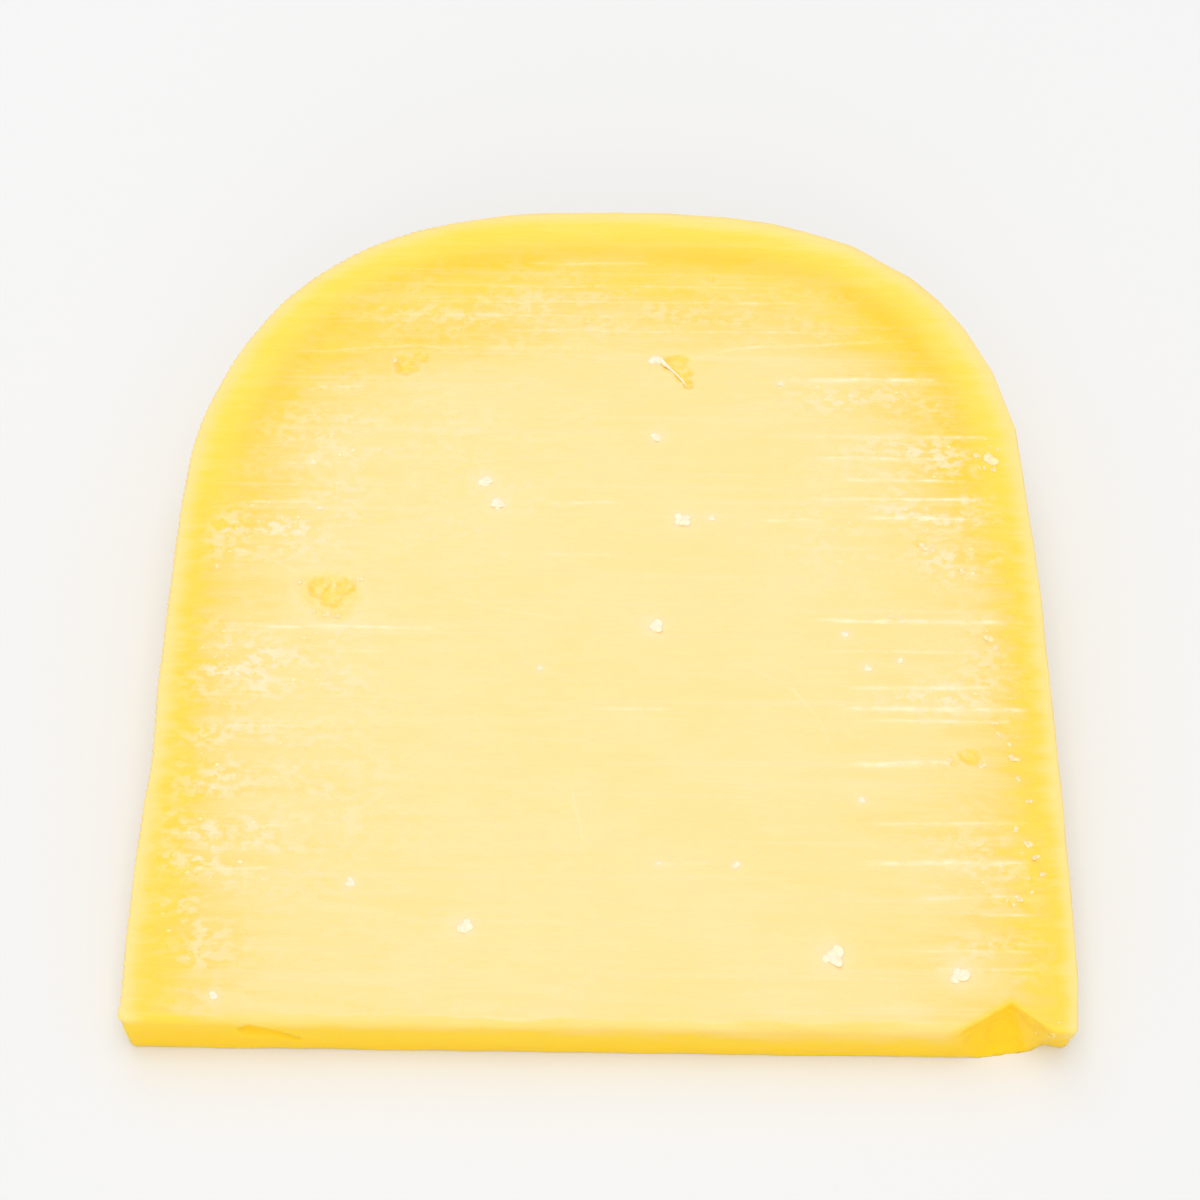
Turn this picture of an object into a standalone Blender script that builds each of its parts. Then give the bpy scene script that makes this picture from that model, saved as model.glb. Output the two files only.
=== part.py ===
"""Cheese wedge: a thin slice cut from the side of a flat round wheel, lying on one cut face.

The wheel's axis runs along X, so both cut faces are planes through that axis.  The wheel's
two flats become the left and right sides of the slice, its rounded rim is the back, and a
short straight cut across the thin end is the front.  Metres, +Z up, origin at the middle
of the footprint.
"""

import math

import bmesh
import bpy
from mathutils import Matrix, Vector, noise

# Driving dimensions of the wheel and of the slice
WHEEL_HEIGHT = 0.1164
WHEEL_RADIUS = 0.1800
SLICE_ANGLE = math.radians(7.5)
FRONT_RADIUS = 0.0547

# The rim in cross section: two quarter superellipses, the left one a little rounder
RIM_DEPTH = 0.0618
LEFT_ROUNDNESS = 2.60
RIGHT_ROUNDNESS = 2.84
RIM_POINTS = 96
SIDE_POINTS = 14
SPIN_STEPS = 6

# Slow unevenness of the rind: side (-1 left, 1 right), distance from the front, height, reach
RIND_SWELLS = (
    (-1, 0.036, -0.00040, 0.007),
    (-1, 0.085, 0.00035, 0.009),
    (1, 0.030, 0.00020, 0.018),
    (1, 0.075, -0.00045, 0.010),
    (1, 0.090, 0.00025, 0.006),
)

# Softened edges where the knife left the rind
EDGE_SOFTNESS = 0.0005
EDGE_SEGMENTS = 2
SHARP_ANGLE = math.radians(35)

# Eyes, the round holes that ripening leaves: across, from the front, half widths, depth
EYES = {
    "left_eye_west": (-0.0384, 0.0606, 0.0021, 0.0024, 0.0019),
    "left_eye_east": (-0.0352, 0.0604, 0.0020, 0.0023, 0.0017),
    "left_eye_tip": (-0.0367, 0.0582, 0.0018, 0.0021, 0.0014),
    "upper_left_eye": (-0.0284, 0.0974, 0.0021, 0.0021, 0.0016),
    "torn_eye": (0.0098, 0.0978, 0.0025, 0.0022, 0.0018),
    "torn_eye_tail": (0.0111, 0.0950, 0.0010, 0.0018, 0.0010),
    "right_eye": (0.0470, 0.0365, 0.0017, 0.0015, 0.0012),
}
EYE_RINGS = 10
EYE_SEGMENTS = 18

# The broken front right corner: centre across, from the front, height, then half widths
CORNER_BREAKS = {
    "corner_scoop": (0.0468, -0.0010, 0.0060, 0.0050, 0.0038, 0.0040),
    "corner_facet": (0.0506, -0.0012, 0.0072, 0.0036, 0.0052, 0.0046),
    "corner_undercut": (0.0526, -0.0008, 0.0002, 0.0025, 0.0026, 0.0020),
    "front_nick": (-0.0398, -0.0010, 0.0076, 0.0034, 0.0017, 0.0015),
}
BREAK_DETAIL = 3
BREAK_ROUGHNESS = 0.00045
BREAK_GRAIN = 900.0

# The wheel's axis stands this far behind the origin, which centres the footprint
AXIS_Y = -(WHEEL_RADIUS + FRONT_RADIUS) / 2
HALF_WIDTH = WHEEL_HEIGHT / 2
RIM_START = WHEEL_RADIUS - RIM_DEPTH
TIP_MARGIN = 0.004


def empty_scene():
    """Remove whatever the scene holds."""
    for found in list(bpy.data.objects):
        bpy.data.objects.remove(found, do_unlink=True)


def new_collection(name):
    """Make a collection in the scene."""
    collection = bpy.data.collections.new(name)
    bpy.context.scene.collection.children.link(collection)
    return collection


def paste_material():
    """Pale yellow cheese, a little waxy."""
    material = bpy.data.materials.new("cheese_paste")
    material.use_nodes = True
    shader = material.node_tree.nodes["Principled BSDF"]
    shader.inputs["Base Color"].default_value = (0.90, 0.70, 0.26, 1)
    shader.inputs["Roughness"].default_value = 0.45
    shader.inputs["Metallic"].default_value = 0.0
    return material


def swell(side, from_front):
    """How far the rind stands out here, from the slow unevenness of the wheel."""
    total = 0.0
    for swell_side, place, height, reach in RIND_SWELLS:
        if swell_side == side:
            total += height * math.exp(-((from_front - place) / reach) ** 2)
    return total


def rim_point(turn):
    """A point of the rim, from the right side (turn 0) over the back to the left (turn pi)."""
    side = 1 if turn <= math.pi / 2 else -1
    roundness = RIGHT_ROUNDNESS if side > 0 else LEFT_ROUNDNESS
    across = abs(math.cos(turn)) ** (2 / roundness)
    back = abs(math.sin(turn)) ** (2 / roundness)
    radius = RIM_START + RIM_DEPTH * back
    stand_out = swell(side, radius - FRONT_RADIUS)
    return (side * (HALF_WIDTH + stand_out) * across, radius)


def cross_section():
    """The wheel's radial cross section beyond the tip, as (across, radius) in order."""
    inner = FRONT_RADIUS - TIP_MARGIN
    steps = [index / SIDE_POINTS for index in range(SIDE_POINTS)]
    side_radii = [inner + (RIM_START - inner) * step for step in steps]
    right = [(HALF_WIDTH + swell(1, radius - FRONT_RADIUS), radius) for radius in side_radii]
    left = [(-HALF_WIDTH - swell(-1, radius - FRONT_RADIUS), radius) for radius in side_radii]
    rim = [rim_point(math.pi * index / RIM_POINTS) for index in range(RIM_POINTS + 1)]
    return right + rim + left[::-1]


def spun_slice(collection, material):
    """Spin the cross section about the wheel's axis through the slice's angle."""
    mesh = bpy.data.meshes.new("cheese_wedge")
    build = bmesh.new()
    corners = [build.verts.new((across, AXIS_Y + radius, 0)) for across, radius in cross_section()]
    face = build.faces.new(corners)
    bmesh.ops.spin(
        build,
        geom=[face] + list(face.edges) + corners,
        cent=(0, AXIS_Y, 0),
        axis=(1, 0, 0),
        angle=SLICE_ANGLE,
        steps=SPIN_STEPS,
        use_duplicate=False,
    )
    bmesh.ops.recalc_face_normals(build, faces=build.faces)
    build.to_mesh(mesh)
    build.free()
    mesh.materials.append(material)
    wedge = bpy.data.objects.new("cheese_wedge", mesh)
    collection.objects.link(wedge)
    return wedge


def cutter_object(name, build, collection):
    """Turn a bmesh into a hidden cutter."""
    mesh = bpy.data.meshes.new(name)
    bmesh.ops.recalc_face_normals(build, faces=build.faces)
    build.to_mesh(mesh)
    build.free()
    cutter = bpy.data.objects.new(name, mesh)
    cutter.hide_render = True
    cutter.display_type = "WIRE"
    collection.objects.link(cutter)
    return cutter


def subtract(target, cutter):
    """Cut one shape out of another."""
    boolean = target.modifiers.new(cutter.name, "BOOLEAN")
    boolean.operation = "DIFFERENCE"
    boolean.solver = "EXACT"
    boolean.object = cutter


def tip_cutter(collection):
    """The block that the straight front cut takes away."""
    size = 0.2
    build = bmesh.new()
    bmesh.ops.create_cube(build, size=size)
    front = AXIS_Y + FRONT_RADIUS
    bmesh.ops.translate(build, verts=build.verts, vec=(0, front - size / 2, 0))
    return cutter_object("tip_cut", build, collection)


def on_cut_face(across, from_front):
    """A point on the upper cut face."""
    front = FRONT_RADIUS / math.cos(SLICE_ANGLE)
    radius = front + from_front
    height = radius * math.sin(SLICE_ANGLE)
    return Vector((across, AXIS_Y + radius * math.cos(SLICE_ANGLE), height))


def eye_cutter(name, shape, collection):
    """An eye: a rounded hollow, half of it standing clear above the cut face."""
    across, from_front, half_x, half_y, depth = shape
    build = bmesh.new()
    bmesh.ops.create_uvsphere(build, u_segments=EYE_SEGMENTS, v_segments=EYE_RINGS, radius=1)
    tilt = Matrix.Rotation(SLICE_ANGLE, 4, "X")
    place = Matrix.Translation(on_cut_face(across, from_front))
    stretch = Matrix.Diagonal((half_x, half_y, depth, 1))
    bmesh.ops.transform(build, matrix=place @ tilt @ stretch, verts=build.verts)
    return cutter_object(name, build, collection)


def break_cutter(name, shape, collection):
    """A crumbly break: a lumpy ball whose surface leaves a torn face behind."""
    across, from_front, height, half_x, half_y, half_z = shape
    build = bmesh.new()
    bmesh.ops.create_icosphere(build, subdivisions=BREAK_DETAIL, radius=1)
    place = Vector((across, AXIS_Y + FRONT_RADIUS + from_front, height))
    for vert in build.verts:
        way = vert.co.normalized()
        surface = Vector((way.x * half_x, way.y * half_y, way.z * half_z)) + place
        vert.co = surface + way * BREAK_ROUGHNESS * noise.noise(surface * BREAK_GRAIN)
    return cutter_object(name, build, collection)


def soften_edges(target):
    """Round the knife's edges a little."""
    bevel = target.modifiers.new("edge_softness", "BEVEL")
    bevel.width = EDGE_SOFTNESS
    bevel.segments = EDGE_SEGMENTS
    bevel.limit_method = "ANGLE"
    bevel.angle_limit = SHARP_ANGLE


def main():
    """Build the slice and take the tip, the eyes and the broken places out of it."""
    empty_scene()
    parts = new_collection("cheese_wedge")
    cutters = new_collection("cutters")
    wedge = spun_slice(parts, paste_material())
    subtract(wedge, tip_cutter(cutters))
    soften_edges(wedge)
    for name, shape in EYES.items():
        subtract(wedge, eye_cutter(name, shape, cutters))
    for name, shape in CORNER_BREAKS.items():
        subtract(wedge, break_cutter(name, shape, cutters))


main()
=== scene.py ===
"""Looks of the cheese wedge, laid out as a Blender add-on and run as a script.

The wedge is a thin slice of a flat round wheel, lying on one cut face.  Every piece is
placed by two measures on the upper cut face: how far across it lies (X, from the middle)
and how far from the front cut.  Metres throughout.
"""

import math

import bpy
import numpy as np
from mathutils import Matrix, Vector
from mathutils.geometry import delaunay_2d_cdt


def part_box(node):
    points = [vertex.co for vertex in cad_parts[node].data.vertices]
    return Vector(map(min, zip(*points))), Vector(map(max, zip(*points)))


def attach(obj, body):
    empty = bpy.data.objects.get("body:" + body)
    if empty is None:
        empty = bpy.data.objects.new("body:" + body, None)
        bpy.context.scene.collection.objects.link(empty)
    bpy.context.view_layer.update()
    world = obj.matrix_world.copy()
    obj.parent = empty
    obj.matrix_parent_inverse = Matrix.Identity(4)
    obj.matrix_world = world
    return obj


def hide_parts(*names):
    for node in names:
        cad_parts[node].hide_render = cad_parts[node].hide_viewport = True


bl_info = {
    "name": "Cheese Wedge Looks",
    "version": (1, 0, 0),
    "blender": (4, 5, 0),
    "location": "3D View > Sidebar > Cheese",
    "description": "Makes the paste, rind, eyes, crystals and knife marks of a cheese wedge",
    "category": "Object",
}

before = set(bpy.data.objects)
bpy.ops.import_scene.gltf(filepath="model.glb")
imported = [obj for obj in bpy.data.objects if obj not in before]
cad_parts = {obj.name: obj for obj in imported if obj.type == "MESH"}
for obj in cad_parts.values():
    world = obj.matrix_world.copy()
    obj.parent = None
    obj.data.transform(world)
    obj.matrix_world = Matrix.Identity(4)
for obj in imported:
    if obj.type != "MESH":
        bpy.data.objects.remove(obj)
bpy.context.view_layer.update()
WEDGE_LOW, WEDGE_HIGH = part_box("cheese_wedge")

MM = 0.001
WHEEL_RADIUS = 180 * MM
SLICE_ANGLE = math.radians(7.5)
AXIS_Y = WEDGE_HIGH.y - WHEEL_RADIUS
FRONT_RADIUS = WEDGE_LOW.y - AXIS_Y
SLICE_DEPTH = WHEEL_RADIUS - FRONT_RADIUS
HALF_WIDTH = 58.2 * MM
RIM_DEPTH = 61.8 * MM
LEFT_ROUNDNESS = 2.60
RIGHT_ROUNDNESS = 2.84

# Slow unevenness of the rind: side (-1 left, 1 right), distance from the front, height, reach
RIND_SWELLS = (
    (-1, 0.036, -0.00040, 0.007),
    (-1, 0.085, 0.00035, 0.009),
    (1, 0.030, 0.00020, 0.018),
    (1, 0.075, -0.00045, 0.010),
    (1, 0.090, 0.00025, 0.006),
    (-1, 0.000, -0.00045, 0.006),
    (1, 0.000, -0.00055, 0.006),
)

# Turns of the right shoulder where one pressed flat of the rind meets the next, in degrees
FACET_TURNS = (5, 15, 25, 34, 41, 49, 61, 72)
FACET_FLATNESS = 0.75

# Eyes on the cut face, in mm: across, from front, half widths, depth, lip height
EYES = (
    (-38.2, 60.7, 1.9, 2.0, 1.30, 0.05),
    (-34.9, 60.6, 1.7, 1.8, 1.10, 0.05),
    (-36.4, 59.0, 2.0, 2.2, 0.95, 0.02),
    (-36.6, 59.4, 4.4, 4.2, 0.30, 0.09),
    (-28.6, 97.0, 2.1, 1.7, 1.05, 0.10),
    (-26.6, 98.5, 1.5, 1.0, 0.60, 0.03),
    (9.4, 98.0, 2.3, 1.7, 0.95, 0.03),
    (10.6, 96.3, 1.5, 1.8, 0.80, 0.02),
    (11.3, 94.4, 0.8, 1.2, 0.90, 0.03),
    (47.0, 36.6, 1.6, 1.4, 0.70, 0.07),
    (44.9, 35.9, 0.9, 0.8, 0.25, 0.09),
    (14.6, 113.0, 0.9, 0.8, 0.40, 0.03),
    (-25.7, 105.9, 1.0, 0.6, 0.35, 0.02),
    (-3.0, 105.3, 0.8, 1.1, 0.30, 0.03),
    (42.4, 68.6, 1.0, 0.8, 0.20, 0.07),
    (47.4, 64.6, 0.6, 0.5, 0.15, 0.05),
    (50.8, 53.6, 0.9, 0.8, 0.15, 0.07),
    (54.2, 22.4, 0.7, 0.6, 0.15, 0.05),
)

# White crystals on the cut face, in mm: across, from front, size
CRYSTALS = (
    (-16.7, 77.7, 1.15),
    (-14.9, 74.2, 1.15),
    (10.4, 71.8, 1.25),
    (14.3, 72.2, 0.55),
    (6.9, 85.3, 0.95),
    (6.4, 55.3, 1.20),
    (-40.6, 80.5, 0.50),
    (-16.8, 12.7, 1.15),
    (28.2, 9.4, 1.45),
    (43.7, 7.2, 1.35),
    (-31.1, 18.3, 0.70),
    (-46.6, 3.3, 0.65),
    (34.5, 49.3, 0.65),
    (38.7, 50.4, 0.45),
    (31.8, 54.2, 0.55),
    (-8.4, 48.7, 0.45),
    (7.1, 21.3, 0.40),
    (16.8, 21.2, 0.50),
    (32.9, 30.3, 0.50),
    (-39.1, 73.1, 0.40),
    (24.3, 94.6, 0.45),
)

# Burrs that the knife dragged up, in mm: from front, across from, across to, width
KNIFE_BURRS = (
    (95.3, 23.6, 48.3, 0.22),
    (85.6, 19.9, 56.0, 0.13),
    (82.1, 26.7, 49.0, 0.16),
    (78.4, 30.0, 50.5, 0.15),
    (75.4, 26.5, 53.5, 0.15),
    (72.4, 34.0, 50.9, 0.20),
    (71.9, 20.0, 31.0, 0.12),
    (56.3, 25.2, 57.3, 0.24),
    (51.8, 27.7, 46.8, 0.10),
    (46.5, 29.5, 53.0, 0.16),
    (43.3, 29.4, 56.6, 0.22),
    (41.6, 31.5, 54.0, 0.13),
    (35.5, 31.0, 45.7, 0.26),
    (27.2, 32.6, 54.5, 0.15),
    (21.8, 31.7, 54.5, 0.26),
    (17.2, 38.3, 53.1, 0.16),
    (14.9, 46.0, 54.0, 0.12),
    (10.3, 36.7, 53.8, 0.12),
    (7.9, 40.0, 53.6, 0.12),
    (93.1, -42.0, -33.5, 0.13),
    (80.4, -46.5, -34.1, 0.11),
    (73.9, -50.1, -38.0, 0.10),
    (54.5, -51.5, -18.5, 0.15),
    (50.8, -37.4, -27.5, 0.09),
    (39.8, -52.0, -38.0, 0.10),
    (34.0, -50.0, -38.0, 0.09),
    (25.6, -54.3, -38.0, 0.10),
    (19.8, -52.0, -40.0, 0.11),
    (74.3, -9.0, 2.5, 0.11),
    (66.0, -10.0, 2.0, 0.09),
    (42.8, -2.0, 9.0, 0.12),
    (21.3, 6.0, 14.0, 0.12),
    (115.4, -13.0, 7.3, 0.09),
    (111.2, -30.3, 27.6, 0.08),
    (108.4, -30.2, 36.2, 0.09),
    (105.9, -38.0, 8.0, 0.08),
    (103.3, -20.0, 38.9, 0.08),
)

# Long marks that bend, in mm: width, then points of across and from front
BENT_MARKS = (
    (0.09, ((-45.3, 98.9), (-38, 99.6), (-31, 100.2), (-27.5, 100.6), (-24, 100.2), (-10, 100.5), (4.5, 100.4))),
    (0.11, ((13.0, 99.0), (17, 100.3), (21.6, 100.9), (33, 101.5), (44.4, 102.4))),
    (0.06, ((-24.7, 59.8), (-19, 59.0), (-13.9, 57.6), (-8, 56.6), (-1.9, 56.1))),
    (0.06, ((12.6, 51.5), (18, 49.8), (24.3, 46.5), (28, 41.5), (30, 35.8))),
    (0.08, ((-4.4, 34.5), (-3.6, 30.0), (-2.6, 26.0), (-2.0, 22.5))),
    (0.09, ((-51.5, 67.0), (-47.5, 65.6), (-43.5, 64.2), (-40.8, 62.6))),
)

# Dry smears beside the knife marks, in mm: across, from front, reach across, reach back, strength
SMEARS = (
    (-45.0, 69.0, 9, 4, 0.9),
    (-38.0, 73.0, 8, 8, 0.4),
    (-47.0, 48.5, 7, 5, 1.0),
    (-38.0, 47.0, 8, 7, 0.7),
    (-48.0, 35.0, 7, 6, 0.7),
    (-47.0, 24.0, 8, 5, 0.9),
    (-50.0, 12.0, 5, 7, 0.5),
    (-36.0, 30.0, 9, 12, 0.35),
    (-37.0, 84.0, 8, 8, 0.45),
    (-20.0, 80.0, 12, 12, 0.25),
    (42.0, 82.0, 10, 4, 0.8),
    (44.0, 74.0, 9, 4, 0.9),
    (46.0, 66.0, 6, 4, 0.7),
    (36.0, 92.0, 12, 4, 0.6),
    (43.0, 45.0, 9, 3, 0.8),
    (47.0, 22.0, 7, 6, 0.5),
    (48.0, 10.0, 6, 3, 0.45),
    (30.0, 70.0, 9, 8, 0.35),
    (50.0, 50.0, 4, 8, 0.5),
    (0.0, 106.0, 40, 5, 0.30),
)

# Flakes of paste that stand up where the knife tore it, in mm: across, from front, size
FLAKES = (
    (52.6, 82.0, 1.30),
    (51.3, 82.6, 0.70),
    (53.2, 80.6, 0.60),
    (50.7, 54.0, 0.95),
    (51.4, 52.6, 0.55),
    (43.1, 67.9, 0.85),
    (44.0, 67.2, 0.60),
    (47.9, 64.1, 0.60),
    (53.6, 24.3, 0.75),
    (54.3, 22.9, 0.70),
    (54.9, 20.6, 0.55),
    (52.0, 26.6, 0.50),
    (50.5, 41.6, 0.60),
    (51.0, 39.8, 0.45),
    (52.6, 36.6, 0.85),
    (48.4, 35.3, 0.50),
    (53.0, 33.7, 0.55),
    (54.0, 30.6, 0.50),
    (51.9, 17.2, 0.55),
    (-30.3, 97.8, 0.65),
    (-40.9, 61.5, 0.60),
    (-33.0, 62.0, 0.60),
    (-36.9, 56.4, 0.60),
    (-35.6, 56.0, 0.50),
    (-38.6, 56.9, 0.45),
    (44.6, 36.1, 0.55),
    (24.1, 94.5, 0.50),
    (-52.2, 63.6, 0.50),
    (37.9, 57.3, 0.60),
    (39.3, 57.0, 0.40),
)

# The break at the front right corner, in mm: two steep flats that meet in a crease.
# Where each flat starts on the left and ends on the right, and the crease's place and
# depth, on the upper cut face and at the foot.
CHIP_TOP = (43.3, 49.9, 54.6, 3.7)
CHIP_FOOT = (46.6, 52.6, 56.0, 1.0)
CHIP_HOLLOW = 0.30

# How far the foot of the corner beyond the break is set back, in mm: across, depth
UNDERCUT = ((52.6, 0.0), (54.9, 1.9), (56.2, 1.5), (58.6, 1.6))

# A nick in the front edge, in mm: its left end, its length, the drop of its two ends below
# the edge, half its greatest thickness and its depth
NICK_START = -43.8
NICK_LENGTH = 7.4
NICK_DROPS = (2.1, 4.2)
NICK_HALF = 1.60
NICK_DEPTH = 0.55


# ---------------------------------------------------------------------------
# What a user would change
# ---------------------------------------------------------------------------


def length_prop(name, description, default, largest=0.01):
    """A small length in metres."""
    return bpy.props.FloatProperty(
        name=name,
        description=description,
        default=default,
        min=0.0,
        max=largest,
        precision=6,
        unit="LENGTH",
    )


def colour_prop(name, description, default):
    """A colour, as linear red, green and blue."""
    return bpy.props.FloatVectorProperty(
        name=name,
        description=description,
        default=default,
        size=3,
        min=0.0,
        max=1.0,
        subtype="COLOR",
    )


class CheeseBodySettings(bpy.types.PropertyGroup):
    """Fineness and relief of the wedge itself."""

    edge_round: length_prop("Edge rounding", "Radius left where a cut face meets the rind", 0.45 * MM)
    front_round: length_prop("Front rounding", "Radius left where the cut face meets the front", 0.95 * MM)
    corner_round: length_prop("Corner rounding", "Radius of the upright corners", 1.0 * MM)
    grid_across: length_prop("Grid across", "Mesh size along the knife's path", 0.80 * MM)
    grid_back: length_prop("Grid back", "Mesh size across the knife's path", 0.42 * MM)
    grid_fine: length_prop("Fine grid", "Mesh size in the eyes and at the broken corner", 0.21 * MM)
    burr_height: length_prop("Burr height", "Height of the ridges that the knife dragged up", 0.09 * MM)
    knife_depth: length_prop("Knife relief", "Height of the waves that the knife left", 0.05 * MM)
    broken_depth: length_prop("Broken relief", "Height of the crumbs in a broken place", 0.28 * MM)
    front_depth: length_prop("Front relief", "Height of the front cut's slow waves", 0.22 * MM)
    rind_depth: length_prop("Rind relief", "Height of the rind's lumps", 0.16 * MM)
    cloth_depth: length_prop("Cloth relief", "Height of the marks left by the press cloth", 0.085 * MM)
    cloth_pitch: length_prop("Cloth pitch", "Distance between two threads of the cloth", 1.15 * MM)
    seed: bpy.props.IntProperty(name="Seed", description="Fixes the random relief", default=3)


class CheeseColourSettings(bpy.types.PropertyGroup):
    """Colours of the cheese."""

    paste: colour_prop("Paste", "The cheese in the middle of the slice", (0.94, 0.690, 0.284))
    edge: colour_prop("Edge", "The pale outermost line of the cut", (0.94, 0.695, 0.250))
    lemon: colour_prop("Lemon", "The bright band just under the rind", (0.94, 0.625, 0.045))
    amber: colour_prop("Amber", "The dry paste inside that band", (0.94, 0.600, 0.100))
    rind: colour_prop("Rind", "The outside of the wheel", (0.95, 0.705, 0.245))
    # Front cut: the same paste as the cut faces, drawn deeper in colour as painted shade, since this face turns away
    # from the light overhead.
    front: colour_prop("Front cut", "The short cut across the thin end", (0.96, 0.640, 0.020))
    # Broken paste: the same paste drawn deep as painted shade, on the break's steep flats, at the foot of the front cut
    # and in the nick.
    deep: colour_prop("Broken paste", "Fresh paste where the corner broke", (0.98, 0.600, 0.002))
    # Eye: the skin's own tone inside the eyes, drawn deeper as painted shade of their hollows.
    eye: colour_prop("Eye", "The skin inside the eyes", (0.95, 0.640, 0.060))
    smear: colour_prop("Smear", "Dried smears beside the knife marks", (0.95, 0.735, 0.445))
    burr: colour_prop("Burr", "Paste dragged up by the knife", (0.97, 0.830, 0.560))
    flake: colour_prop("Flake", "Flakes and crumbs torn from the paste", (0.97, 0.805, 0.450))
    crystal: colour_prop("Crystal", "The white crystals of a ripe cheese", (0.97, 0.870, 0.640))


class CheeseDetailSettings(bpy.types.PropertyGroup):
    """Small things on the cut face."""

    grains: bpy.props.IntProperty(name="Grains", description="Grains in one crystal", default=7, min=1)
    crumb_density: bpy.props.FloatProperty(
        name="Crumb density",
        description="Crumbs on each square metre where the paste crumbles",
        default=500000.0,
        min=0.0,
    )
    seed: bpy.props.IntProperty(name="Seed", description="Fixes the random places", default=11)


class CheeseStageSettings(bpy.types.PropertyGroup):
    """Floor, light and camera."""

    floor: colour_prop("Floor", "Colour of the floor", (0.79, 0.79, 0.79))
    sky: bpy.props.FloatProperty(name="Sky", description="Strength of the even light", default=0.63, min=0.0)
    top: bpy.props.FloatProperty(
        name="Top light",
        description="Power of the wide soft light overhead",
        default=18.6,
        min=0.0,
        unit="POWER",
    )
    key: bpy.props.FloatProperty(
        name="Key light",
        description="Power of the soft light behind the wedge",
        default=1.0,
        min=0.0,
        unit="POWER",
    )
    fill: bpy.props.FloatProperty(
        name="Fill light",
        description="Power of the soft light in front of the wedge",
        default=12.6,
        min=0.0,
        unit="POWER",
    )
    lens: bpy.props.FloatProperty(name="Lens", description="Focal length in mm on a 36 mm sensor", default=66.0)
    camera_place: bpy.props.FloatVectorProperty(
        name="Camera place",
        description="Where the camera stands",
        default=(0.0013, -0.1802, 0.2491),
        size=3,
        subtype="TRANSLATION",
        unit="LENGTH",
    )
    camera_down: bpy.props.FloatProperty(
        name="Looking down",
        description="Angle of the camera below level",
        default=math.radians(53.09),
        subtype="ANGLE",
    )
    camera_turn: bpy.props.FloatProperty(
        name="Turned left",
        description="Turn of the camera about the upright",
        default=math.radians(0.64),
        subtype="ANGLE",
    )
    camera_roll: bpy.props.FloatProperty(
        name="Roll",
        description="Roll of the camera about its own line of sight",
        default=math.radians(0.17),
        subtype="ANGLE",
    )


# ---------------------------------------------------------------------------
# The slice's own measures
# ---------------------------------------------------------------------------


def smooth_step(low, high, values):
    """0 below low, 1 above high, and a smooth ramp between."""
    share = np.clip((values - low) / (high - low), 0.0, 1.0)
    return share * share * (3 - 2 * share)


def place(across, from_front, turn):
    """World points of places on the wheel's section, turned about its axis by part of the slice."""
    start = FRONT_RADIUS / np.cos(turn)
    radius = start + from_front * (WHEEL_RADIUS - start) / SLICE_DEPTH
    return np.stack([across, AXIS_Y + radius * np.cos(turn), radius * np.sin(turn)], axis=-1)


def on_cut(across, from_front, lift=0.0):
    """A world point on the upper cut face, raised by lift."""
    point = place(np.asarray(across, float), np.asarray(from_front, float), SLICE_ANGLE)
    normal = np.array([0.0, -math.sin(SLICE_ANGLE), math.cos(SLICE_ANGLE)])
    return point + normal * np.asarray(lift, float)[..., None]


def swell(side, from_front):
    """How far the rind stands out, from the slow unevenness of the wheel."""
    total = np.zeros_like(from_front)
    for swell_side, spot, height, reach in RIND_SWELLS:
        near = height * np.exp(-(((from_front - spot) / reach) ** 2))
        total += np.where(side == swell_side, near, 0.0)
    return total


def rim_points(turns):
    """The rim from the right side (turn 0) over the back to the left side (turn pi)."""
    side = np.where(turns <= math.pi / 2, 1, -1)
    roundness = np.where(side > 0, RIGHT_ROUNDNESS, LEFT_ROUNDNESS)
    across = np.abs(np.cos(turns)) ** (2 / roundness)
    from_front = SLICE_DEPTH - RIM_DEPTH + RIM_DEPTH * np.abs(np.sin(turns)) ** (2 / roundness)
    return np.stack([side * (HALF_WIDTH + swell(side, from_front)) * across, from_front], axis=-1)


def flattened(turns, points):
    """Press the right shoulder's flats into the rim."""
    corners = np.radians(FACET_TURNS)
    inside = (turns > corners[0]) & (turns < corners[-1])
    ends = rim_points(corners)
    chords = np.stack([np.interp(turns, corners, ends[:, axis]) for axis in (0, 1)], axis=-1)
    pressed = points * (1 - FACET_FLATNESS) + chords * FACET_FLATNESS
    return np.where(inside[:, None], pressed, points)


def rind_line():
    """The rind's edge on the cut face: up the right side, over the rim, down the left side."""
    steps = np.linspace(0, SLICE_DEPTH - RIM_DEPTH, 400, endpoint=False)
    right = np.stack([HALF_WIDTH + swell(np.ones(400), steps), steps], axis=-1)
    left = np.stack([-HALF_WIDTH - swell(-np.ones(400), steps), steps], axis=-1)
    turns = np.linspace(0, math.pi, 4001)
    rim = flattened(turns, rim_points(turns))
    return np.concatenate([right, rim, left[::-1]])


def distance_to(points, line):
    """Distance from each point to the nearest point of a finely drawn line."""
    found = [
        np.sqrt(((chunk[:, None, :] - line[None, :, :]) ** 2).sum(-1).min(1))
        for chunk in np.array_split(points, max(1, len(points) // 2000))
    ]
    return np.concatenate(found)


# ---------------------------------------------------------------------------
# The wedge's mesh
# ---------------------------------------------------------------------------


def wander(values, step, seed):
    """A smooth random curve between -1 and 1, with one turn about every step."""
    knots = np.random.default_rng(seed).uniform(-1, 1, 1024)
    spot = np.asarray(values) / step + 512
    low = np.floor(spot).astype(int)
    share = spot - low
    share = share * share * (3 - 2 * share)
    return knots[low % 1024] * (1 - share) + knots[(low + 1) % 1024] * share


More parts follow.
